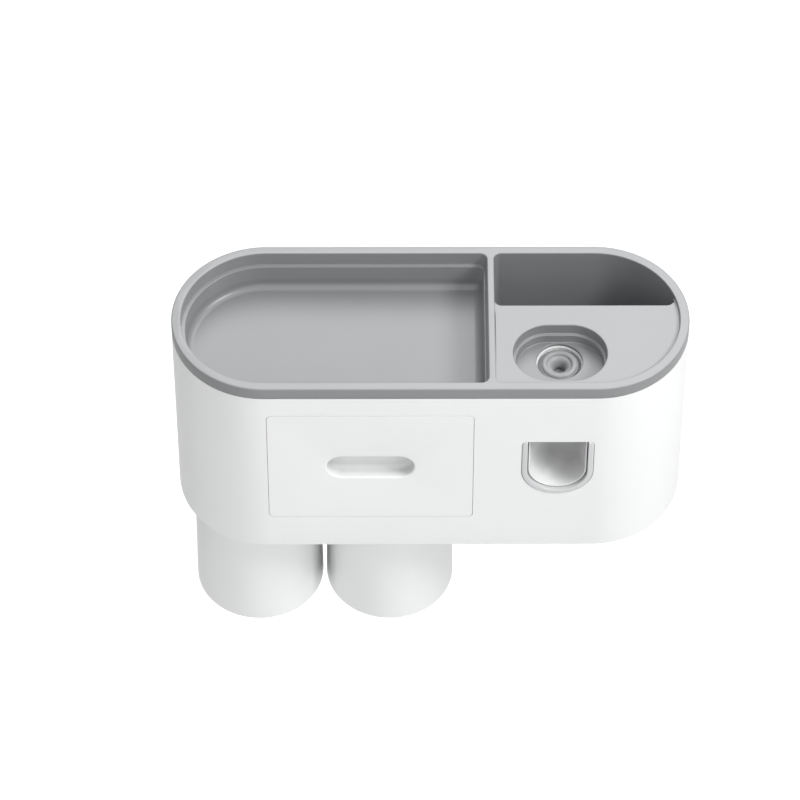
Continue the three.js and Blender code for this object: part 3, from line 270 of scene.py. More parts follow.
class PumpSizes(bpy.types.PropertyGroup):
    """Mouth trim, push piece and tube seat"""

    draw_left: length("Draw left", "Left side of the trim's box to the mouth", 0.0004)
    draw_right: length("Draw right", "Right side of the trim's box to the mouth", 0.0014)
    draw_top: length("Draw top", "Top of the trim's box to the mouth", 0.0014)
    trim: length("Trim", "Width of the mouth trim", 0.003)
    corner: length("Mouth corner", "Upper corners of the mouth", 0.0025)
    trim_fillet: length("Trim fillet", "Rounding of the trim's front", 0.0008)
    trim_edge: length("Trim edge", "Rounding of the trim's other edges", 0.0004)
    slide_gap: length("Slide gap", "Gap round the push piece", 0.0004)
    flange: length("Flange", "Thickness of the push piece's flange", 0.002)
    flange_lap: length("Flange lap", "Flange beyond the push piece's sides", 0.0009)
    niche_wall: length("Niche wall", "Wall of the push piece round its niche", 0.0009)
    niche_depth: length("Niche depth", "Depth of the brush niche", 0.0165)
    niche_lip: length("Niche lip", "Rounding of the niche's edge", 0.0003)
    moat: length("Moat", "Width and depth of the moat round the seat", 0.0013)
    dish_radius: length("Dish radius", "Radius of the seat's dish", 0.0063)
    dish_depth: length("Dish depth", "Depth of the seat's dish", 0.0048)
    crest: length("Crest", "Radius of the round crest about the dish", 0.0016)
    bore: length("Seat bore", "Radius of the seat's bore", 0.0032)
    seat_edge: length("Seat edge", "Rounding of the seat's rim", 0.0004)
    flap: length("Flap", "Radius of the valve's flap", 0.0044)
    flap_edge: length("Flap edge", "Rounding of the valve's edges", 0.0001)
    slit: length("Slit", "Width of the slit round the flap", 0.0006)
    hinge: length("Hinge", "Width that the flap hangs from", 0.003)
    nozzle_tip: length("Nozzle tip", "Radius of the nozzle's tip", 0.0022)
    nozzle_bore: length("Nozzle bore", "Radius of the nozzle's bore", 0.0014)
    nozzle_round: length("Nozzle rounding", "Rounding of the nozzle's tip", 0.0005)
    nozzle_edge: length("Nozzle edge", "Rounding of the nozzle's other edges", 0.0002)
    nozzle_drop: length("Nozzle drop", "Flange to the nozzle's tip", 0.0035)
    nozzle_flange: length("Nozzle flange", "Thickness of the nozzle's flange", 0.0012)
    nozzle_lap: length("Nozzle lap", "Flange beyond the nozzle's neck", 0.001)
    fold_depth: length("Fold depth", "Depth of the bellows' folds", 0.003)
    folds: count("Folds", "Folds of the bellows", 3)
    skin: length("Skin", "Wall of the bellows", 0.001)
    wire: length("Wire", "Radius of the spring's wire", 0.0006)
    coils: count("Coils", "Turns of the spring", 5)


class FittingSizes(bpy.types.PropertyGroup):
    """Pieces whose own shapes stay, and the foam pad"""

    edge: length("Edge", "Rounding of the fittings' edges", 0.0003)
    pad_corner: length("Pad corner", "Corner of the foam pad", 0.005)
    pad_edge: length("Pad edge", "Rounding of the foam pad's edges", 0.0001)


class Finishes(bpy.types.PropertyGroup):
    """Colours, gloss and painted shade"""

    white: colour("White", "Casing, drawer front and cups", (0.86, 0.868, 0.866))
    grey: colour("Grey", "Top moulding and brush rack", (0.243, 0.2475, 0.253))
    inner: colour("Inner white", "Inner mouldings", (0.78, 0.785, 0.785))
    trim: colour("Trim", "Mouth trim", (0.62, 0.63, 0.635))
    push: colour("Push piece", "Push piece with the brush niche", (0.92, 0.925, 0.925))
    silicone: colour("Silicone", "Seat, valve, nozzle and bellows", (0.27, 0.274, 0.278))
    steel: colour("Steel", "Screws, spring and keepers", (0.55, 0.56, 0.57))
    nickel: colour("Nickel", "Magnets", (0.45, 0.45, 0.46))
    bracket: colour("Bracket", "Wall bracket", (0.74, 0.75, 0.755))
    adhesive: colour("Adhesive", "Adhesive sheet", (0.62, 0.6, 0.55))
    white_gloss: share("White roughness", "Roughness of the white mouldings", 0.34)
    grey_gloss: share("Grey roughness", "Roughness of the grey mouldings", 0.36)
    # Painted shade: the pan's floor and the tube recess's floor are darkened in colour, standing for the
    # shade in these hollows.
    low_floor_shade: share("Floor tone", "Share of the grey that the pan's and recess's floors keep", 0.8)
    floor_shade_blur: length("Floor blur", "Width over which the floors' tone sets in", 0.001)
    # Painted shade: the white and the push piece are darkened by ambient occlusion in hollows, standing for
    # the shade that falls there.
    white_hollow_shade: share("White hollows", "How much the white darkens in hollows", 0.5)
    white_shade_reach: length("White reach", "How wide a hollow darkens the white", 0.012)
    push_hollow_shade: share("Push hollows", "How much the push piece darkens in hollows", 0.8)
    push_shade_reach: length("Push reach", "How wide a hollow darkens the push piece", 0.018)
    # Painted shade: the push piece's niche is darkened with depth, sooner towards its right, standing for the
    # shade inside it.
    niche_shade: share("Niche tone", "Share of the push piece's colour that is left deep in its niche", 0.4)
    niche_shade_lean: share("Niche lean", "How much sooner the niche darkens towards its right", 0.3)
    niche_shade_from: length("Niche from", "Depth at which the niche starts to darken", 0.002)
    niche_shade_to: length("Niche to", "Depth at which the niche is darkest", 0.013)


class Studio(bpy.types.PropertyGroup):
    """Camera and light"""

    eye: FloatVectorProperty(
        name="Camera place", description="Where the camera stands", default=(-0.01857, -1.66708, 1.9453),
        size=3, precision=5, subtype="XYZ", unit="LENGTH",
    )
    tilt: FloatProperty(
        name="Camera tilt", description="Angle from straight down", default=math.radians(39.31),
        subtype="ANGLE",
    )
    turn: FloatProperty(
        name="Camera turn", description="Angle about the upright axis", default=math.radians(-0.094),
        subtype="ANGLE",
    )
    lens: FloatProperty(
        name="Lens", description="Focal length in millimetres", default=213.46, subtype="DISTANCE_CAMERA"
    )
    floor_drop: length("Floor drop", "Underside of the cups to the floor", 0.6)
    floor_size: length("Floor size", "Side of the floor", 80)
    floor: colour("Floor", "Colour of the floor", (0.9, 0.9, 0.9))
    floor_white: FloatProperty(
        name="Floor white", description="Light that the camera sees in the floor", default=0.3
    )
    sky: FloatProperty(name="Sky", description="Strength of the even light", default=0.34)
    top: power("Top light", "Power of the overhead panel", 7.5)
    right: power("Right light", "Power of the panel at the right", 21)
    rear: power("Rear light", "Power of the panel above and behind", 21)
    front: power("Front light", "Power of the panel in front", 4.4)
    high: power("High front light", "Power of the panel above the front", 5.8)


def angles(end, steps):
    """Angles from nought to an end in even steps, both included."""
    return [end * k / steps for k in range(steps + 1)]


def arc(x, y, radius, start, end, steps):
    """Points along an arc, both ends included."""
    turns = [start + a for a in angles(end - start, steps)]
    return [(x + radius * math.cos(a), y + radius * math.sin(a)) for a in turns]


def outline(*arcs):
    """One closed outline through its arcs, without repeated points."""
    points = [p for a in arcs for p in a]
    return [p for k, p in enumerate(points) if math.dist(p, points[k - 1]) > SAME_POINT]


def circle(x, y, radius, steps=24):
    """Points round a circle."""
    return arc(x, y, radius, 0, 2 * math.pi * (1 - 1 / steps), steps - 1)


def stadium(size_x, size_y, x, y, steps):
    """Oblong with full-round ends."""
    radius = size_y / 2
    arm = size_x / 2 - radius
    return outline(
        arc(x + arm, y, radius, -QUARTER, QUARTER, steps),
        arc(x - arm, y, radius, QUARTER, 3 * QUARTER, steps),
    )


def rounded_rectangle(low_x, high_x, low_y, high_y, radius, steps):
    """Rectangle with round corners."""
    return outline(
        arc(high_x - radius, low_y + radius, radius, -QUARTER, 0, steps),
        arc(high_x - radius, high_y - radius, radius, 0, QUARTER, steps),
        arc(low_x + radius, high_y - radius, radius, QUARTER, 2 * QUARTER, steps),
        arc(low_x + radius, low_y + radius, radius, 2 * QUARTER, 3 * QUARTER, steps),
    )


def new_object(name, made):
    """Object of a bmesh, with its faces pointing out."""
    bmesh.ops.recalc_face_normals(made, faces=made.faces)
    mesh = bpy.data.meshes.new(name)
    made.to_mesh(mesh)
    made.free()
    piece = bpy.data.objects.new(name, mesh)
    bpy.context.scene.collection.objects.link(piece)
    return piece


def loft(name, slices, stand=UPRIGHT):
    """Closed solid through outlines at their levels."""
    made = bmesh.new()
    rings = [[made.verts.new(stand @ Vector((x, y, level))) for x, y in ring] for ring, level in slices]
    for below, above in zip(rings, rings[1:]):
        for k in range(len(below)):
            made.faces.new((below[k - 1], below[k], above[k], above[k - 1]))
    made.faces.new(rings[0])
    made.faces.new(rings[-1])
    return new_object(name, made)


def eased(shape, low, high, low_round, high_round, steps):
    """Slices of an outline between two levels, drawn in by a quarter round at an end that has one."""
    slices = []
    turns = angles(QUARTER, steps)
    if low_round > 0:
        slices += [
            (shape(low_round * (1 - math.sin(a))), low + low_round * (1 - math.cos(a))) for a in turns
        ]
    else:
        slices.append((shape(0), low))
    if high_round > 0:
        slices += [
            (shape(high_round * (1 - math.sin(a))), high - high_round * (1 - math.cos(a)))
            for a in reversed(turns)
        ]
    else:
        slices.append((shape(0), high))
    return slices


def rounded_path(corners, steps):
    """Path past square (inset, level, radius) corners, each turned by its radius; the first only aims."""
    places = [Vector(corner[:2]) for corner in corners]
    path = []
    for before, here, after, corner in zip(places, places[1:], places[2:], corners[1:]):
        back = (before - here).normalized() * corner[2]
        on = (after - here).normalized() * corner[2]
        turns = angles(QUARTER, steps) if corner[2] > 0 else [0]
        path += [here + back * (1 - math.sin(a)) + on * (1 - math.cos(a)) for a in turns]
    path.append(places[-1])
    return [p for k, p in enumerate(path) if k == 0 or (p - path[k - 1]).length > SAME_POINT]


def plate(name, points, low, high, stand=UPRIGHT):
    """Straight solid of an outline between two levels."""
    return loft(name, [(points, low), (points, high)], stand)


def block(name, low, high):
    """Box between two corners."""
    points = [(low[0], low[1]), (high[0], low[1]), (high[0], high[1]), (low[0], high[1])]
    return plate(name, points, low[2], high[2])


def turned(name, profile, x, y, steps, stand=UPRIGHT):
    """Turned form from (radius, level) pairs; radius nought is a pole, and a profile may close on itself."""
    made = bmesh.new()
    rings = []
    closed = profile[0] == profile[-1]
    for radius, level in profile[:-1] if closed else profile:
        points = [(x, y)] if radius < SAME_POINT else circle(x, y, radius, steps)
        rings.append([made.verts.new(stand @ Vector((u, v, level))) for u, v in points])
    if closed:
        rings.append(rings[0])
    for below, above in zip(rings, rings[1:]):
        for k in range(steps):
            lower = [below[k - 1], below[k]] if len(below) > 1 else below
            upper = [above[k], above[k - 1]] if len(above) > 1 else above
            made.faces.new(lower + upper)
    return new_object(name, made)


def settle(piece):
    """Turns a piece's modifiers into its mesh."""
    graph = bpy.context.evaluated_depsgraph_get()
    mesh = bpy.data.meshes.new_from_object(piece.evaluated_get(graph))
    piece.modifiers.clear()
    old = piece.data
    piece.data = mesh
    bpy.data.meshes.remove(old)


def clean(piece):
    """Takes out the slivers that cutting leaves, and joins flat faces."""
    made = bmesh.new()
    made.from_mesh(piece.data)
    bmesh.ops.remove_doubles(made, verts=made.verts, dist=SLIVER)
    bmesh.ops.dissolve_degenerate(made, edges=made.edges, dist=SLIVER)
    bmesh.ops.dissolve_limit(made, angle_limit=FLAT, verts=made.verts, edges=made.edges)
    made.to_mesh(piece.data)
    made.free()


def carve(piece, operation, tools):
    """Joins or cuts a piece with other solids, which are used up."""
    for tool in tools:
        modifier = piece.modifiers.new("carve", "BOOLEAN")
        modifier.operation = operation
        modifier.solver = "EXACT"
        modifier.object = tool
    settle(piece)
    for tool in tools:
        bpy.data.meshes.remove(tool.data)
    clean(piece)
    if not piece.data.polygons:
        raise RuntimeError(f"Nothing is left of {piece.name} after {operation.lower()}")


def soften(piece, width, weld=False):
    """Rounds the sharp edges and keeps the faces beside them even."""
    if weld:
        piece.modifiers.new("weld", "WELD").merge_threshold = WELD
    bevel = piece.modifiers.new("edges", "BEVEL")
    bevel.width = width
    bevel.segments = EDGE_STEPS
    bevel.limit_method = "ANGLE"
    bevel.angle_limit = SHARP
    bevel.use_clamp_overlap = False
    bevel.miter_outer = "MITER_ARC"
    bevel.harden_normals = True


def dress(piece, body, material, nodes, edge):
    """Finishes a new piece and sets it in the place of its nodes."""
    piece.data.shade_smooth()
    piece.data.materials.clear()
    piece.data.materials.append(material)
    if edge > 0:
        soften(piece, edge)
    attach(piece, body)
    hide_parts(*nodes)


def paint_node(name, material, edge):
    """Finish of a node whose own shape stays."""
    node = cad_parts[name]
    if not node.material_slots:
        node.data.materials.append(material)
    for slot in node.material_slots:
        slot.material = material
    soften(node, edge, weld=True)


def feed(tree, node, inputs):
    """Sets a node's inputs: another node's output is linked, anything else is the input's own value."""
    for name, value in inputs.items():
        if isinstance(value, bpy.types.NodeSocket):
            tree.links.new(value, node.inputs[name])
        else:
            node.inputs[name].default_value = value


def add(tree, kind, inputs, **settings):
    """New node with its settings and inputs."""
    node = tree.nodes.new(f"ShaderNode{kind}")
    for name, value in settings.items():
        setattr(node, name, value)
    feed(tree, node, inputs)
    return node


def maths(tree, operation, *numbers):
    """Sum on numbers or on other nodes' outputs."""
    return add(tree, "Math", dict(enumerate(numbers)), operation=operation).outputs[0]


def ranged(tree, source, start, end, low=0, high=1):
    """Number brought from one range to another."""
    inputs = {"Value": source, "From Min": start, "From Max": end, "To Min": low, "To Max": high}
    return add(tree, "MapRange", inputs).outputs["Result"]


def coordinates(tree, kind):
    """The place on a piece, or the way that its face looks, as three numbers."""
    place = add(tree, "TexCoord", {})
    return add(tree, "SeparateXYZ", {"Vector": place.outputs[kind]}).outputs


def blank(name):
    """New material, its node tree and its main shader."""
    material = bpy.data.materials.new(name)
    material.use_nodes = True
    tree = material.node_tree
    tree.nodes.clear()
    shader = add(tree, "BsdfPrincipled", {})
    add(tree, "OutputMaterial", {"Surface": shader.outputs["BSDF"]})
    return material, tree, shader


def noise(tree, scale, detail, stretch=(1, 1, 1)):
    """Noise in the piece's own place, in features per metre."""
    place = add(tree, "TexCoord", {})
    spread = add(tree, "Mapping", {"Vector": place.outputs["Object"], "Scale": stretch})
    grain = add(tree, "TexNoise", {"Vector": spread.outputs["Vector"], "Scale": scale, "Detail": detail})
    return grain.outputs["Fac"]


def around(tree, source, middle, swing):
    """Noise brought to a swing about a number."""
    return ranged(tree, source, *NOISE_RANGE, middle - swing, middle + swing)


def tinted(tree, source, colour_value, depth):
    """Colour that noise darkens a little."""
    ramp = add(tree, "ValToRGB", {"Fac": source})
    low, high = ramp.color_ramp.elements
    low.position, high.position = NOISE_RANGE
    low.color = (*(c * (1 - depth) for c in colour_value), 1)
    high.color = (*colour_value, 1)
    return ramp.outputs["Color"]


def raised(tree, source, depth, strength):
    """Bump from noise, with its depth in metres."""
    bump = add(tree, "Bump", {"Height": source, "Distance": depth, "Strength": strength})
    return bump.outputs["Normal"]


def shade_in_hollows(tree, source, amount, reach):
    """Painted shade: colour darkened by ambient occlusion in hollows, up to a reach in metres."""
    shade = add(tree, "AmbientOcclusion", {"Color": source, "Distance": reach}, samples=8)
    mix = add(tree, "MixRGB", {"Fac": amount, "Color1": source, "Color2": shade.outputs["Color"]})
    return mix.outputs["Color"]


def shade_by_mask(tree, source, shade_level, where):
    """Painted shade: colour brought down to a share of itself where a mask says."""
    inputs = {"Fac": where, "Color1": source, "Color2": (shade_level, shade_level, shade_level, 1)}
    return add(tree, "MixRGB", inputs, blend_type="MULTIPLY").outputs["Color"]


def niche_shade_mask(tree):
    """Mask of painted shade: nought at the push piece's front, one deep in its niche, sooner towards the
    right.
    """
    tones = bpy.context.scene.holder_finishes
    lean = tones.niche_shade_lean
    here = coordinates(tree, "Object")
    leaning = maths(tree, "MULTIPLY_ADD", here["X"], lean, here["Y"])
    front = PUSHER_LOW.y + lean * (PUSHER_LOW.x + PUSHER_HIGH.x) / 2
    return ranged(tree, leaning, front + tones.niche_shade_from, front + tones.niche_shade_to)


def floor_shade_mask(tree):
    """Mask of painted shade: one on the pan's floor and on low faces that look up, nought elsewhere."""
    size = bpy.context.scene.holder_tray
    blur = bpy.context.scene.holder_finishes.floor_shade_blur
    pan_floor = RIM_TOP - size.pan_depth
    divider = TRAY_HIGH.x - size.divider_inset + size.divider / 2
    recess = RIM_TOP - size.deck_depth - (size.recess_step + size.recess_depth) / 2
    here = coordinates(tree, "Object")
    facing = coordinates(tree, "Normal")
    at_left = ranged(tree, here["X"], divider + blur / 2, divider - blur / 2)
    low = ranged(tree, here["Z"], *(pan_floor + rise * size.pan_fillet for rise in FLOOR_SHADE_RISE))
    up = ranged(tree, facing["Z"], *SHADE_FACING_UP)
    below_deck = ranged(tree, here["Z"], recess + blur, recess)
    in_pan = maths(tree, "MULTIPLY", at_left, low)
    looks_up = maths(tree, "MULTIPLY", up, below_deck)
    return maths(tree, "MAXIMUM", in_pan, looks_up)


def moulded(
    name, colour_value, roughness, mottle=0.015, grain=2600, depth=0.00004, coat=0, hollow=None, masked_shade=None
):
    """Injection-moulded plastic: faint flow marks in its colour and a fine spark-eroded grain, and where
    asked, painted shade in hollows and under a mask.
    """
    material, tree, shader = blank(name)
    flow = noise(tree, scale=28, detail=3, stretch=(1, 1, 0.5))
    fine = noise(tree, scale=grain, detail=2)
    base = tinted(tree, flow, colour_value, mottle)
    # Painted shade in hollows.
    if hollow:
        base = shade_in_hollows(tree, base, *hollow)
    # Painted shade under a mask.
    if masked_shade:
        shade_level, mask = masked_shade
        base = shade_by_mask(tree, base, shade_level, mask(tree))
    feed(tree, shader, {
        "Base Color": base,
        "Roughness": around(tree, fine, roughness, swing=0.04),
        "Normal": raised(tree, fine, depth, strength=0.25),
        "IOR": 1.53,
        "Coat Weight": coat,
        "Coat Roughness": 0.2,
    })
    return material


def rubbery(name, colour_value):
    """Soft silicone: matt, a little sheen, dusted unevenly."""
    material, tree, shader = blank(name)
    dust = noise(tree, scale=160, detail=4)
    fine = noise(tree, scale=1800, detail=2)
    feed(tree, shader, {
        "Base Color": tinted(tree, dust, colour_value, depth=0.05),
        "Roughness": around(tree, dust, 0.41, swing=0.05),
        "Normal": raised(tree, fine, depth=0.00005, strength=0.3),
        "IOR": 1.41,
        "Sheen Weight": 0.15,
    })
    return material


def metal(name, colour_value, roughness, stretch):
    """Plated metal with fine drawn lines."""
    material, tree, shader = blank(name)
    lines = noise(tree, scale=900, detail=3, stretch=stretch)
    feed(tree, shader, {
        "Base Color": tinted(tree, lines, colour_value, depth=0.12),
        "Roughness": around(tree, lines, roughness, swing=0.08),
        "Normal": raised(tree, lines, depth=0.00002, strength=0.2),
        "Metallic": 1,
    })
    return material


def finish(name):
    """Named finish, made the first time that it is asked for."""
    made = bpy.data.materials.get(name)
    if made:
        return made
    tones = bpy.context.scene.holder_finishes
    makers = {
        # satin_white has painted shade in its hollows.
        "satin_white": lambda: moulded(
            name, tones.white, tones.white_gloss, hollow=(tones.white_hollow_shade, tones.white_shade_reach)
        ),
        # satin_grey has painted shade on the pan's and recess's floors.
        "satin_grey": lambda: moulded(
            name, tones.grey, tones.grey_gloss, mottle=0.03, grain=2200, depth=0.00002,
            masked_shade=(tones.low_floor_shade, floor_shade_mask),
        ),
        "inner_white": lambda: moulded(name, tones.inner, 0.5, mottle=0.03),
        "pale_trim": lambda: moulded(name, tones.trim, 0.26, mottle=0.04, depth=0.00002, coat=0.4),
        # pale_push has painted shade in its hollows and deep in its niche.
        "pale_push": lambda: moulded(
            name, tones.push, 0.42, hollow=(tones.push_hollow_shade, tones.push_shade_reach),
            masked_shade=(tones.niche_shade, niche_shade_mask),
        ),
        "bracket_white": lambda: moulded(name, tones.bracket, 0.3),
        "soft_silicone": lambda: rubbery(name, tones.silicone),
        "foam_adhesive": lambda: rubbery(name, tones.adhesive),
        "plated_steel": lambda: metal(name, tones.steel, 0.32, (1, 1, 6)),
        "nickel": lambda: metal(name, tones.nickel, 0.24, (1, 1, 1)),
    }
    return makers[name]()


def body_outline(inset):
    """Outline of the body seen from above, drawn in by an inset."""
    facets = bpy.context.scene.holder_facets
    return stadium(2 * (TRAY_HIGH.x - inset), 2 * (END_RADIUS - inset), 0, MID_Y, facets.ends)


def mouth_place():
    """Middle, half width, level of the half round and top of the mouth."""
    pump = bpy.context.scene.holder_pump
    left = TRIM_LOW.x + pump.draw_left
    right = TRIM_HIGH.x - pump.draw_right
    half = (right - left) / 2
    return left + half, half, TRIM_LOW.z + half, TRIM_HIGH.z - pump.draw_top


def mouth_outline(inset, top_inset=None, square=False):
    """Flat top with small or square corners, sides straight down to a half round."""
    facets = bpy.context.scene.holder_facets
    x, half, round_z, top = mouth_place()
    radius = half - inset
    top -= inset if top_inset is None else top_inset
    corner = 0 if square else max(bpy.context.scene.holder_pump.corner - inset, LEAST_CORNER)
    return outline(
        arc(x + radius - corner, top - corner, corner, 0, QUARTER, facets.corners),
        arc(x - radius + corner, top - corner, corner, QUARTER, 2 * QUARTER, facets.corners),
        arc(x, round_z, radius, 2 * QUARTER, 4 * QUARTER, facets.turns // 2),
    )


def corners_of(x, y, arm_x, arm_y):
    """Four places about a middle."""
    return [(x + side * arm_x, y + end * arm_y) for end in (1, -1) for side in (-1, 1)]


class HOLDER_OT_casing(bpy.types.Operator):
    """Makes the white casing with its cut-outs, posts and hook sockets"""

    bl_idname = "holder.casing"
    bl_label = "Casing"

    def execute(self, context):
        size = context.scene.holder_body
        facets = context.scene.holder_facets
        casing = loft("casing", eased(body_outline, UNDERSIDE, SHELL_TOP, size.foot_fillet, 0, facets.edges))
        carve(casing, "UNION", [self.socket(size, facets, side) for side in (-1, 1)])
        hollow = plate("hollow", body_outline(size.wall), UNDERSIDE - PAST, SHELL_TOP + PAST)
        gap = size.panel_gap
        drawer_hole = rounded_rectangle(
            PANEL_LOW.x - gap, PANEL_HIGH.x + gap, PANEL_LOW.z - gap, PANEL_HIGH.z + gap,
            context.scene.holder_drawer.corner + gap, facets.corners,
        )
        through = (FRONT - PAST, FRONT + size.wall + PAST)
        carve(casing, "DIFFERENCE", [
            hollow,
            plate("drawer_hole", drawer_hole, *through, FRONTWARD),
            plate("mouth_hole", mouth_outline(-gap), *through, FRONTWARD),
            *(slot for side in (-1, 1) for slot in self.slots(size, side)),
        ])
        posts, pilots = self.posts(size)
        carve(casing, "UNION", posts)
        carve(casing, "DIFFERENCE", pilots)
        dress(casing, "housing", finish("satin_white"), ["body_shell"], size.edge)
        return {"FINISHED"}

    def socket(self, size, facets, side):
        """Raised block behind the casing that a tongue of the bracket goes into."""
        x = side * size.socket_spacing / 2
        half = size.socket_width / 2
        points = rounded_rectangle(
            x - half, x + half, -size.socket_foot, size.socket_top, size.socket_corner, facets.corners
        )
        return plate("socket", points, REAR - size.wall / 2, SHELL_HIGH.y, FRONTWARD)

    def posts(self, size):
        """Screw posts for the base and for the pump, and the holes in them."""
        foot = UNDERSIDE + size.base + size.seat_gap
        root = FRONT + POST_ROOT * size.wall
        rear = FRONT + size.wall + size.pump_post
        mouth_z = (TRIM_LOW.z + TRIM_HIGH.z) / 2
        posts = []
        pilots = []
        for x, y in corners_of(0, MID_Y, END_X, END_RADIUS - size.base_post_inset):
            posts.append(plate("base_post", circle(x, y, size.post), foot, foot + size.base_post))
            pilots.append(plate("pilot", circle(x, y, size.pilot), foot - PAST, foot + size.base_pilot))
        for x, z in corners_of(TRIM_X, mouth_z, size.pump_post_x, size.pump_post_z):
            posts.append(plate("pump_post", circle(x, z, size.post), root, rear, FRONTWARD))
            pilots.append(
                plate("pilot", circle(x, z, size.pilot), rear - size.pump_pilot, rear + PAST, FRONTWARD)
            )
        return posts, pilots

    def slots(self, size, side):
        """Slot for a tongue's head, and the narrower one for its stem."""
        x = side * size.socket_spacing / 2
        lip_front = SHELL_HIGH.y - size.lip
        low_z = -size.socket_foot - PAST
        wide = block(
            "slot", (x - size.slot_half, REAR, low_z), (x + size.slot_half, lip_front, size.slot_top)
        )
        narrow = block(
            "slot_mouth", (x - size.slot_mouth, REAR, low_z),
            (x + size.slot_mouth, SHELL_HIGH.y + PAST, size.slot_top),
        )
        return [wide, narrow]


class HOLDER_OT_tray(bpy.types.Operator):
    """Makes the grey top moulding: rim, pan, divider, deck, tube recess and well"""

    bl_idname = "holder.tray"
    bl_label = "Top tray"

    def execute(self, context):
        size = context.scene.holder_tray
        facets = context.scene.holder_facets
        self.size = size
        self.facets = facets
        self.divider_x = TRAY_HIGH.x - size.divider_inset
        wall = size.wall
        ledge_z = RIM_TOP - size.ledge_depth
        pan_floor = RIM_TOP - size.pan_depth
        deck_z = RIM_TOP - size.deck_depth
        well_floor = TRAY_LOW.z + wall
        step_z = deck_z - size.recess_step
        recess_floor = deck_z - size.recess_depth
        band_bottom = RIM_TOP - size.band
        rim = eased(body_outline, band_bottom, RIM_TOP, 0, size.rim_fillet, facets.edges)
        tray = loft("tray_moulding", rim)
        opening = plate("opening", body_outline(size.rim), band_bottom - PAST, RIM_TOP + PAST)
        carve(tray, "DIFFERENCE", [opening])
        half = END_RADIUS - size.rim + wall
        bite = wall / 10
        divider = block(
            "divider", (self.divider_x + bite, MID_Y - half, ledge_z + wall),
            (self.divider_x + size.divider - bite, MID_Y + half, RIM_TOP),
        )
        ledge = size.ledge
        outside = rounded_path([
            (FAR, pan_floor - wall, 0), (ledge, pan_floor - wall, size.pan_fillet),
            (ledge, ledge_z - wall, size.root), (0, ledge_z - wall, size.edge), (0, RIM_TOP, 0),
        ], facets.edges)
        inside = rounded_path([
            (FAR, pan_floor, 0), (ledge, pan_floor, size.pan_fillet), (ledge, ledge_z, size.ledge_edge),
            (0, ledge_z, size.root), (0, RIM_TOP, size.edge), (-size.edge, RIM_TOP, 0),
            (-size.edge, RIM_TOP + PAST, 0),
        ], facets.edges)
        carve(tray, "UNION", [
            divider,
            loft("pan_outside", [(self.pan(inset, level, wall), level) for inset, level in outside]),
            plate("deck_plate", self.compartment(-wall), deck_z - size.deck, RIM_TOP),
            self.basin("well_outer", self.well, -wall, well_floor - wall, deck_z, size.well_fillet),
            plate("recess_upper", self.recess(-wall), step_z - wall, deck_z),
            plate("recess_lower", self.recess(size.recess_ledge - wall), recess_floor - wall, step_z),
        ])
        carve(tray, "DIFFERENCE", [
            loft("pan_inside", [(self.pan(inset, level), level) for inset, level in inside]),
            plate("deck_space", self.compartment(0), deck_z, RIM_TOP + PAST),
            self.basin("well_inner", self.well, 0, well_floor, RIM_TOP + PAST, size.well_fillet),
            plate("recess_mouth", self.recess(0), step_z, deck_z + PAST),
            self.basin("recess_inner", self.recess, size.recess_ledge, recess_floor, step_z + PAST,
                       size.recess_fillet),
            plate("seat_hole", circle(SEAT_X, SEAT_Y, size.seat_hole, facets.hole), recess_floor - 2 * wall,
                  recess_floor + PAST),
        ])
        dress(tray, "tray", finish("satin_grey"), ["top_tray"], size.edge)
        return {"FINISHED"}

    def basin(self, name, shape, offset, floor, top, fillet):
        """Solid that fills an outline down to a rounded floor."""
        slices = eased(lambda inset: shape(offset + inset), floor, top, fillet, 0, self.facets.fillets)
        return loft(name, slices)

    def pan(self, inset, level, grown=0.0):
        """Pan drawn in from the rim's wall; at the divider the wall leans and keeps a hair of the ledge."""
        on_ledge = min(max(inset, 0), self.size.ledge)
        lean = self.size.pan_lean * max(RIM_TOP - level, 0) / self.size.pan_depth
        at_divider = inset - on_ledge * (1 - self.size.hair) + lean - grown
        radius = END_RADIUS - self.size.rim - inset + grown
        corner = max(self.size.corner - inset + on_ledge + grown, LEAST_CORNER)
        x = self.divider_x - at_divider - corner
        steps = self.facets.corners
        return outline(
            arc(x, MID_Y - radius + corner, corner, -QUARTER, 0, steps),
            arc(x, MID_Y + radius - corner, corner, 0, QUARTER, steps),
            arc(-END_X, MID_Y, radius, QUARTER, 3 * QUARTER, self.facets.ends),
        )

    def compartment(self, offset):
        """Space at the right of the divider, drawn in by an offset."""
        radius = END_RADIUS - self.size.rim - offset
        corner = max(self.size.corner - offset, LEAST_CORNER)
        x = self.divider_x + self.size.divider + offset + corner
        steps = self.facets.corners
        return outline(
            arc(END_X, MID_Y, radius, -QUARTER, QUARTER, self.facets.ends),
            arc(x, MID_Y + radius - corner, corner, QUARTER, 2 * QUARTER, steps),
            arc(x, MID_Y - radius + corner, corner, 2 * QUARTER, 3 * QUARTER, steps),
        )

    def well_corner(self, offset):
        """Radius, place and turning angle of the corner between the deck's edge and the round end."""
        radius = END_RADIUS - self.size.rim - offset
        corner = max(self.size.corner - offset, LEAST_CORNER)
        y = FRONT + self.size.deck_reach + offset + corner
        rise = y - MID_Y
        run = math.sqrt((radius - corner) ** 2 - rise ** 2)
        return radius, corner, y, run, math.atan2(rise, run)

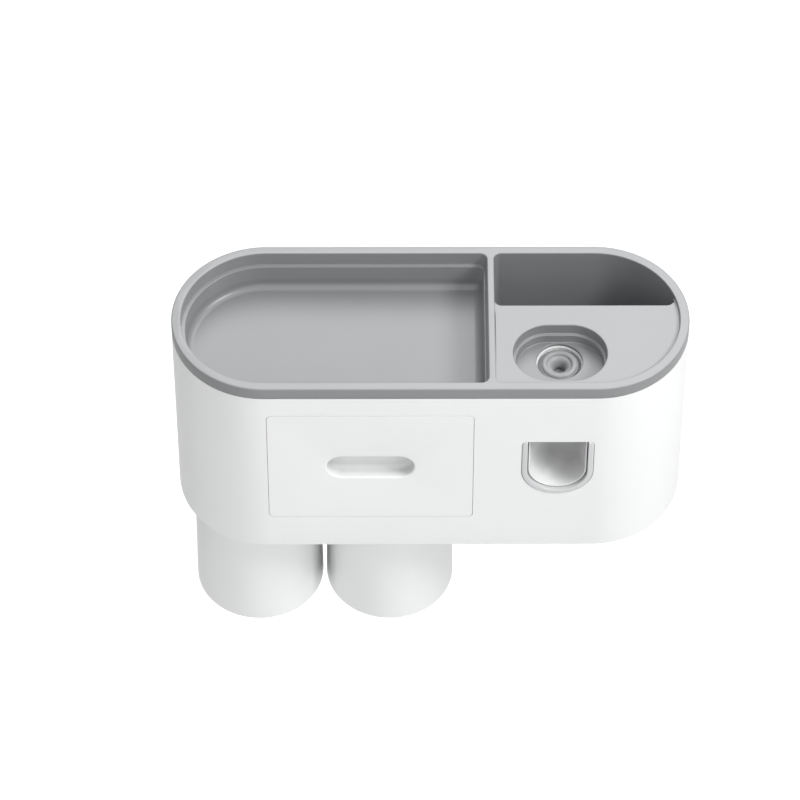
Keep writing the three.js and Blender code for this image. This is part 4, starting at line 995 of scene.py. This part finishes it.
    def well(self, offset):
        """Well behind the deck; its round end keeps as many points at every offset."""
        radius, corner, y, run, meeting = self.well_corner(offset)
        x = self.divider_x + self.size.divider + offset + corner
        steps = self.facets.corners
        latest = max(self.well_corner(inset)[4] for inset in (-self.size.wall, 0, self.size.well_fillet))
        end = [p for p in arc(END_X, MID_Y, radius, -QUARTER, QUARTER, self.facets.ends)
               if math.atan2(p[1] - MID_Y, p[0] - END_X) > latest + SAME_POINT]
        return outline(
            arc(END_X + run, y, corner, -QUARTER, meeting, steps),
            end,
            arc(x, MID_Y + radius - corner, corner, QUARTER, 2 * QUARTER, steps),
            arc(x, y, corner, 2 * QUARTER, 3 * QUARTER, steps),
        )

    def recess(self, offset):
        """Oval recess for the tube, drawn in by an offset."""
        size = self.size
        return stadium(
            size.recess_length - 2 * offset, size.recess_width - 2 * offset, TRIM_X,
            FRONT + size.recess_setback, self.facets.ends // 2,
        )


class HOLDER_OT_drawer(bpy.types.Operator):
    """Makes the drawer front with its finger recess, and the bin behind it"""

    bl_idname = "holder.drawer"
    bl_label = "Drawer"

    def execute(self, context):
        size = context.scene.holder_drawer
        facets = context.scene.holder_facets
        bosses = corners_of(
            (BIN_LOW.x + BIN_HIGH.x) / 2, (BIN_LOW.z + size.runner + BIN_HIGH.z) / 2,
            (BIN_HIGH.x - BIN_LOW.x) / 2 - size.boss_inset,
            (BIN_HIGH.z - BIN_LOW.z - size.runner) / 2 - size.boss_inset,
        )
        self.front(context, size, facets, bosses)
        self.bin(context, size, facets, bosses)
        return {"FINISHED"}

    def scoop(self, size, facets, inset):
        """Finger recess, drawn in by an inset."""
        return stadium(
            size.scoop_length - 2 * inset, size.scoop_height - 2 * inset,
            (PANEL_LOW.x + PANEL_HIGH.x) / 2, (PANEL_LOW.z + PANEL_HIGH.z) / 2, facets.ends // 2,
        )

    def front(self, context, size, facets, bosses):
        """Flush panel with the finger recess, its bowl and the screw bosses behind."""
        pilot = context.scene.holder_body.pilot
        points = rounded_rectangle(
            PANEL_LOW.x, PANEL_HIGH.x, PANEL_LOW.z, PANEL_HIGH.z, size.corner, facets.corners
        )
        panel = plate("drawer_panel", points, FRONT, FRONT + size.panel, FRONTWARD)
        back = FRONT + size.scoop_depth
        bowl = loft("bowl", eased(
            lambda inset: self.scoop(size, facets, inset - size.scoop_wall), FRONT + size.panel / 2,
            back + size.scoop_wall, 0, size.scoop_fillet, facets.bowl,
        ), FRONTWARD)
        wall_rear = BIN_LOW.y + size.wall
        carve(panel, "UNION", [bowl] + [
            plate("boss", circle(x, z, size.boss), FRONT + size.panel / 2, wall_rear, FRONTWARD)
            for x, z in bosses
        ])
        lip = [
            (self.scoop(size, facets, -size.scoop_lip * (1 - math.sin(a))),
             FRONT + size.scoop_lip * (1 - math.cos(a)))
            for a in angles(QUARTER, facets.edges)
        ]
        mouth = (self.scoop(size, facets, -size.scoop_lip), FRONT - PAST)
        deep = eased(
            lambda inset: self.scoop(size, facets, inset), FRONT + size.scoop_lip, back, 0, size.scoop_fillet,
            facets.scoop,
        )
        carve(panel, "DIFFERENCE", [loft("hollow", [mouth, *lip, *deep[1:]], FRONTWARD)] + [
            plate("pilot", circle(x, z, pilot), wall_rear - size.boss_pilot, wall_rear + PAST, FRONTWARD)
            for x, z in bosses
        ])
        dress(panel, "drawer", finish("satin_white"), ["drawer_front"], size.edge)

    def bin(self, context, size, facets, bosses):
        """Open bin on two runners."""
        low_z = BIN_LOW.z + size.runner

        def shape(inset):
            return rounded_rectangle(
                BIN_LOW.x + inset, BIN_HIGH.x - inset, BIN_LOW.y + inset, BIN_HIGH.y - inset,
                max(size.bin_corner - inset, LEAST_CORNER), facets.corners,
            )

        hull = plate("drawer_bin", shape(0), low_z, BIN_HIGH.z)
        runners = []
        for x in (BIN_LOW.x + size.runner_inset, BIN_HIGH.x - size.runner_inset):
            runners.append(block(
                "runner", (x - size.runner_half, BIN_LOW.y + size.bin_corner, BIN_LOW.z),
                (x + size.runner_half, BIN_HIGH.y - size.bin_corner, low_z + size.wall / 2),
            ))
        carve(hull, "UNION", runners)
        hollow = loft("bin_hollow", eased(
            lambda inset: shape(size.wall + inset), low_z + size.wall, BIN_HIGH.z + PAST, size.bin_fillet, 0,
            facets.edges,
        ))
        gap = context.scene.holder_body.seat_gap
        through = (BIN_LOW.y - PAST, BIN_LOW.y + size.wall + PAST)
        carve(hull, "DIFFERENCE", [
            hollow,
            plate("bowl_hole", self.scoop(size, facets, -size.scoop_wall - gap), *through, FRONTWARD),
            *(plate("boss_hole", circle(x, z, size.boss + gap), *through, FRONTWARD) for x, z in bosses),
        ])
        dress(hull, "drawer", finish("inner_white"), ["drawer_box"], size.edge)


class HOLDER_OT_cups(bpy.types.Operator):
    """Makes the two rinsing cups, mouth down"""

    bl_idname = "holder.cups"
    bl_label = "Cups"

    def execute(self, context):
        size = context.scene.holder_cup
        facets = context.scene.holder_facets
        for side in ("left", "right"):
            low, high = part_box(f"cup_{side}")
            mouth_radius = (high.x - low.x) / 2
            profile = self.profile(size, facets, mouth_radius, low.z, high.z)
            x = (low.x + high.x) / 2
            cup = turned(f"rinsing_cup_{side}", profile, x, MID_Y, facets.cups)
            dress(cup, f"{side}_cup", finish("satin_white"), [f"cup_{side}"], size.edge)
        return {"FINISHED"}

    def profile(self, size, facets, mouth_radius, mouth_z, top_z):
        """Keeper's pocket, outside down to the lip, and inside up to the ceiling."""
        taper = (mouth_radius - size.base_radius) / (top_z - mouth_z)

        def radius_at(z):
            return size.base_radius + (top_z - z) * taper

        steps = angles(QUARTER, facets.corners)
        fillet = size.fillet
        pocket_z = top_z - size.pocket_depth
        shoulder = radius_at(top_z - fillet)
        ceiling = top_z - size.base
        inside = radius_at(ceiling) - size.wall
        half = size.wall / 2
        middle = mouth_radius - half
        lip = [
            (middle + half * math.cos(a), mouth_z + size.lip * (1 - math.sin(a)))
            for a in angles(math.pi, 2 * facets.edges)
        ]
        return [
            (0, pocket_z), (size.pocket_radius, pocket_z), (size.pocket_radius, top_z),
            *((shoulder - fillet * (1 - math.sin(a)), top_z - fillet * (1 - math.cos(a))) for a in steps),
            *lip,
            *((inside - fillet * (1 - math.cos(a)), ceiling - fillet * (1 - math.sin(a))) for a in steps),
            (0, ceiling),
        ]


class HOLDER_OT_pump(bpy.types.Operator):
    """Makes the mouth trim, the push piece, the bellows and the return spring"""

    bl_idname = "holder.pump"
    bl_label = "Toothpaste pump"

    def execute(self, context):
        size = context.scene.holder_pump
        facets = context.scene.holder_facets
        self.trim(size, facets)
        self.push_piece(size, facets)
        self.bellows(size, facets)
        self.spring(size, facets)
        return {"FINISHED"}

    def trim(self, size, facets):
        """Pale U round the mouth, open at the top."""
        front = TRIM_LOW.y
        rear = TRIM_HIGH.y
        slices = eased(mouth_outline, front, rear, size.trim_fillet, 0, facets.edges)
        ring = loft("mouth_trim", slices, FRONTWARD)
        inner = plate("trim_hole", mouth_outline(size.trim, -PAST), front - PAST, rear + PAST, FRONTWARD)
        carve(ring, "DIFFERENCE", [inner])
        dress(ring, "housing", finish("pale_trim"), ["mouth_bezel"], size.trim_edge)

    def push_piece(self, size, facets):
        """Push piece with a flange behind and a round niche cut from above."""
        side = size.trim + size.slide_gap
        lap = size.flange_lap
        front = mouth_outline(side, size.slide_gap, True)
        behind = mouth_outline(side - lap, size.slide_gap - lap, True)
        piece = plate("push_scoop", front, PUSHER_LOW.y, PUSHER_HIGH.y, FRONTWARD)
        flange = plate("flange", behind, PUSHER_HIGH.y - size.flange, PUSHER_HIGH.y, FRONTWARD)
        carve(piece, "UNION", [flange])
        x, half, round_z, top = mouth_place()
        radius = half - side - size.niche_wall
        bowl = [
            (radius * math.cos(a), round_z + radius * math.sin(a))
            for a in [turn - QUARTER for turn in angles(QUARTER, 2 * facets.corners)]
        ]
        top += PAST
        niche = turned("niche", [*bowl, (radius, top), (0, top)], x, PUSHER_LOW.y, facets.turns)
        rear = PUSHER_LOW.y + size.niche_depth
        keep = block("keep", (x - FAR, FRONT - FAR, round_z - FAR), (x + FAR, rear, top + PAST))
        carve(niche, "INTERSECT", [keep])
        carve(piece, "DIFFERENCE", [niche])
        dress(piece, "push_piece", finish("pale_push"), ["pusher"], size.niche_lip)

    def bellows(self, size, facets):
        """Folded silicone chamber between the push piece and the pump's back."""
        x = (BELLOWS_LOW.x + BELLOWS_HIGH.x) / 2
        z = (BELLOWS_LOW.z + BELLOWS_HIGH.z) / 2
        outer = (BELLOWS_HIGH.x - BELLOWS_LOW.x) / 2
        run = BELLOWS_HIGH.y - BELLOWS_LOW.y - 2 * size.skin
        points = facets.fold * size.folds
        wave = [
            (outer - size.fold_depth / 2 * (1 + math.cos(2 * math.pi * size.folds * k / points)),
             BELLOWS_LOW.y + size.skin + run * k / points)
            for k in range(points + 1)
        ]
        neck = wave[0][0]
        inside = [(radius - size.skin, y) for radius, y in reversed(wave)]
        profile = [
            (0, BELLOWS_LOW.y), (neck, BELLOWS_LOW.y), *wave, (neck, BELLOWS_HIGH.y),
            (neck - size.skin, BELLOWS_HIGH.y), *inside, (0, BELLOWS_LOW.y + size.skin),
        ]
        piece = turned("paste_bellows", profile, x, z, facets.turns // 2, FRONTWARD)
        dress(piece, "housing", finish("soft_silicone"), ["bellows"], 0)
        self.press(piece, BELLOWS_LOW.y, BELLOWS_HIGH.y)

    def spring(self, size, facets):
        """Round wire wound in even coils."""
        x = (SPRING_LOW.x + SPRING_HIGH.x) / 2
        z = (SPRING_LOW.z + SPRING_HIGH.z) / 2
        radius = (SPRING_HIGH.x - SPRING_LOW.x) / 2 - size.wire
        low = SPRING_LOW.y + size.wire
        run = SPRING_HIGH.y - SPRING_LOW.y - 2 * size.wire
        steps = facets.coil * size.coils
        sides = [2 * math.pi * j / facets.wire for j in range(facets.wire)]
        along = Vector((0, 1, 0))
        made = bmesh.new()
        rings = []
        for angle in angles(2 * math.pi * size.coils, steps):
            out = Vector((math.cos(angle), 0, math.sin(angle)))
            rise = run * angle / (2 * math.pi * size.coils)
            middle = Vector((x, low + rise, z)) + out * radius
            rings.append([
                made.verts.new(middle + size.wire * (out * math.cos(b) + along * math.sin(b))) for b in sides
            ])
        for below, above in zip(rings, rings[1:]):
            for j in range(facets.wire):
                made.faces.new((below[j - 1], below[j], above[j], above[j - 1]))
        made.faces.new(rings[0])
        made.faces.new(rings[-1])
        piece = new_object("spring_coil", made)
        dress(piece, "housing", finish("plated_steel"), ["return_spring"], 0)
        self.press(piece, SPRING_LOW.y, SPRING_HIGH.y)

    def press(self, piece, low_y, high_y):
        """Gives a piece a mesh of its own."""
        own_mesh(piece)


class HOLDER_OT_tube_seat(bpy.types.Operator):
    """Makes the soft pieces under the tube: the seat for its neck, the flap valve and the nozzle"""

    bl_idname = "holder.tube_seat"
    bl_label = "Tube seat"

    def execute(self, context):
        size = context.scene.holder_pump
        facets = context.scene.holder_facets
        radius = (SEAT_HIGH.x - SEAT_LOW.x) / 2
        lip = size.crest
        top = SEAT_HIGH.z - lip
        inner = radius - size.moat
        round_edge = [
            (inner - size.seat_edge * (1 - math.cos(a)), top - size.seat_edge * (1 - math.sin(a)))
            for a in angles(QUARTER, facets.soft)
        ]
        crest = [
            (size.dish_radius + lip * (1 + math.cos(a)), top + lip * math.sin(a))
            for a in angles(2 * QUARTER, 2 * facets.soft)
        ]
        narrowing = size.dish_radius - size.bore
        funnel = [
            (size.dish_radius - narrowing * math.sin(a), top - size.dish_depth * (1 - math.cos(a)))
            for a in angles(QUARTER, facets.funnel)[1:]
        ]
        profile = [
            (radius, SEAT_LOW.z), (radius, top - size.moat), (inner, top - size.moat), *round_edge, *crest,
            *funnel, (size.bore, SEAT_LOW.z), (radius, SEAT_LOW.z),
        ]
        seat = turned("tube_seat", profile, SEAT_X, SEAT_Y, facets.turns)
        dress(seat, "housing", finish("soft_silicone"), ["inlet_seat"], 0)
        self.valve(size, facets)
        self.nozzle(size, facets)
        return {"FINISHED"}

    def valve(self, size, facets):
        """Disc with a flap that hangs from one side."""
        low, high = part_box("inlet_valve")
        radius = (high.x - low.x) / 2
        profile = [(0, low.z), (radius, low.z), (radius, high.z), (0, high.z)]
        disc = turned("flap_valve", profile, SEAT_X, SEAT_Y, facets.turns)
        rim = size.flap + size.slit
        below = low.z - PAST
        over = high.z + PAST
        ring = [(size.flap, below), (rim, below), (rim, over), (size.flap, over)]
        slit = turned("slit", [*ring, ring[0]], SEAT_X, SEAT_Y, facets.turns // 2)
        hinge = block(
            "hinge", (SEAT_X - size.hinge / 2, SEAT_Y, low.z - 2 * PAST),
            (SEAT_X + size.hinge / 2, SEAT_Y + radius, high.z + 2 * PAST),
        )
        carve(slit, "DIFFERENCE", [hinge])
        carve(disc, "DIFFERENCE", [slit])
        dress(disc, "housing", finish("soft_silicone"), ["inlet_valve"], size.flap_edge)

    def nozzle(self, size, facets):
        """Tapered nozzle with a flange that it hangs by."""
        low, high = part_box("outlet_nozzle")
        outer = (high.x - low.x) / 2
        neck = outer - size.nozzle_lap
        under = low.z + size.nozzle_drop
        over = under + size.nozzle_flange
        bend = size.nozzle_round
        tip = [
            (size.nozzle_tip - bend * (1 - math.sin(a)), low.z + bend * (1 - math.cos(a)))
            for a in angles(QUARTER, facets.soft)
        ]
        profile = [
            (size.nozzle_bore, low.z), *tip, (neck, under), (outer, under), (outer, over), (neck, over),
            (neck, high.z), (size.nozzle_bore, high.z), (size.nozzle_bore, low.z),
        ]
        piece = turned("paste_nozzle", profile, SEAT_X, (low.y + high.y) / 2, facets.turns // 2)
        dress(piece, "housing", finish("soft_silicone"), ["outlet_nozzle"], size.nozzle_edge)


class HOLDER_OT_fittings(bpy.types.Operator):
    """Finishes the pieces whose own shapes stay, such as base, rack and screws, and makes the foam pad"""

    bl_idname = "holder.fittings"
    bl_label = "Fittings"

    def execute(self, context):
        size = context.scene.holder_fittings
        finishes = {
            "satin_white": ["base_plate"],
            "satin_grey": ["brush_rack"],
            "bracket_white": ["wall_bracket"],
            "inner_white": [
                "drawer_bay", "brush_cover", "pump_body", "pump_back", "magnet_cap_left", "magnet_cap_right",
                "cup_cover_left", "cup_cover_right",
            ],
            "nickel": ["magnet_left", "magnet_right"],
            "plated_steel": [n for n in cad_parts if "_screw_" in n or n.startswith("cup_keeper")],
        }
        for finish_name, nodes in finishes.items():
            for node in nodes:
                paint_node(node, finish(finish_name), size.edge)
        low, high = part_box("adhesive_sheet")
        corners = context.scene.holder_facets.corners
        points = rounded_rectangle(low.x, high.x, low.z, high.z, size.pad_corner, corners)
        pad = plate("foam_pad", points, low.y, high.y, FRONTWARD)
        dress(pad, "wall_mount", finish("foam_adhesive"), ["adhesive_sheet"], size.pad_edge)
        return {"FINISHED"}


class HOLDER_OT_stage(bpy.types.Operator):
    """Makes the floor, the light and the camera"""

    bl_idname = "holder.stage"
    bl_label = "Stage"

    def execute(self, context):
        studio = context.scene.holder_studio
        self.camera(context, studio)
        self.world(context, studio)
        self.floor(studio)
        middle = (CAD_BOX[0] + CAD_BOX[1]) / 2
        for name, (place, width, height) in PANELS.items():
            self.panel(f"{name}_panel", getattr(studio, name), Vector(place), middle, width, height)
        context.scene.view_settings.view_transform = "Standard"
        return {"FINISHED"}

    def camera(self, context, studio):
        """Camera high in front of the object."""
        data = bpy.data.cameras.new("camera")
        data.sensor_width = 36
        data.lens = studio.lens
        data.clip_end = 100
        camera = bpy.data.objects.new("camera", data)
        camera.location = studio.eye
        camera.rotation_euler = (studio.tilt, 0, studio.turn)
        context.scene.collection.objects.link(camera)
        context.scene.camera = camera

    def world(self, context, studio):
        """Even light on the object, and plain white where the camera or a reflection sees past it."""
        world = bpy.data.worlds.new("studio")
        world.use_nodes = True
        tree = world.node_tree
        tree.nodes.clear()
        path = add(tree, "LightPath", {}).outputs
        seen = maths(tree, "MAXIMUM", path["Is Camera Ray"], path["Is Glossy Ray"])
        seen = maths(tree, "MAXIMUM", seen, path["Is Transmission Ray"])
        strength = ranged(tree, seen, 0, 1, studio.sky, 1)
        sky = add(tree, "Background", {"Color": (1, 1, 1, 1), "Strength": strength})
        add(tree, "OutputWorld", {"Surface": sky.outputs["Background"]})
        context.scene.world = world

    def floor(self, studio):
        """Pale floor well below the object, clear when seen from beneath."""
        half = studio.floor_size / 2
        level = CAD_BOX[0].z - studio.floor_drop
        corners = [(-half, -half, level), (half, -half, level), (half, half, level), (-half, half, level)]
        mesh = bpy.data.meshes.new("floor")
        mesh.from_pydata(corners, [], [(0, 1, 2, 3)])
        floor = bpy.data.objects.new("floor", mesh)
        bpy.context.scene.collection.objects.link(floor)
        material, tree, shader = blank("pale_floor")
        path = add(tree, "LightPath", {}).outputs
        feed(tree, shader, {
            "Base Color": tinted(tree, noise(tree, scale=2, detail=2), studio.floor, depth=0.01),
            "Roughness": 0.9,
            "Emission Color": (1, 1, 1, 1),
            "Emission Strength": maths(tree, "MULTIPLY", path["Is Camera Ray"], studio.floor_white),
        })
        beneath = add(tree, "NewGeometry", {}).outputs["Backfacing"]
        clear = add(tree, "BsdfTransparent", {}).outputs["BSDF"]
        mix = add(tree, "MixShader", {"Fac": beneath, 1: shader.outputs["BSDF"], 2: clear})
        output = next(n for n in tree.nodes if n.type == "OUTPUT_MATERIAL")
        feed(tree, output, {"Surface": mix.outputs["Shader"]})
        floor.data.materials.append(material)

    def panel(self, name, watts, place, target, width, height):
        """Oblong light that looks at the object."""
        data = bpy.data.lights.new(name, "AREA")
        data.shape = "RECTANGLE"
        data.size = width
        data.size_y = height
        data.energy = watts
        light = bpy.data.objects.new(name, data)
        light.location = place
        light.rotation_euler = (target - place).to_track_quat("-Z", "Y").to_euler()
        bpy.context.scene.collection.objects.link(light)


GROUPS = {
    "holder_facets": HolderFacets,
    "holder_body": BodySizes,
    "holder_tray": TraySizes,
    "holder_drawer": DrawerSizes,
    "holder_cup": CupSizes,
    "holder_pump": PumpSizes,
    "holder_fittings": FittingSizes,
    "holder_finishes": Finishes,
    "holder_studio": Studio,
}
OPERATORS = (
    HOLDER_OT_stage,
    HOLDER_OT_casing,
    HOLDER_OT_tray,
    HOLDER_OT_drawer,
    HOLDER_OT_cups,
    HOLDER_OT_pump,
    HOLDER_OT_tube_seat,
    HOLDER_OT_fittings,
)


class HOLDER_PT_panel(bpy.types.Panel):
    """Lists the holder's pieces and the stage"""

    bl_idname = "HOLDER_PT_panel"
    bl_label = "Toothbrush holder"
    bl_space_type = "VIEW_3D"
    bl_region_type = "UI"
    bl_category = "Holder"

    def draw(self, context):
        for operator in OPERATORS:
            self.layout.operator(operator.bl_idname)
        for name, group in GROUPS.items():
            box = self.layout.box()
            box.label(text=group.__doc__)
            values = getattr(context.scene, name)
            for key in group.__annotations__:
                box.prop(values, key)


def register():
    """Adds the values, the operators and the panel."""
    for name, group in GROUPS.items():
        bpy.utils.register_class(group)
        setattr(bpy.types.Scene, name, PointerProperty(type=group))
    for operator in OPERATORS:
        bpy.utils.register_class(operator)
    bpy.utils.register_class(HOLDER_PT_panel)


def unregister():
    """Takes out all that register adds."""
    bpy.utils.unregister_class(HOLDER_PT_panel)
    for operator in reversed(OPERATORS):
        bpy.utils.unregister_class(operator)
    for name, group in reversed(GROUPS.items()):
        delattr(bpy.types.Scene, name)
        bpy.utils.unregister_class(group)


def main():
    """Makes every piece and the stage."""
    register()
    for operator in OPERATORS:
        group, name = operator.bl_idname.split(".")
        getattr(getattr(bpy.ops, group), name)()


if __name__ == "__main__":
    main()
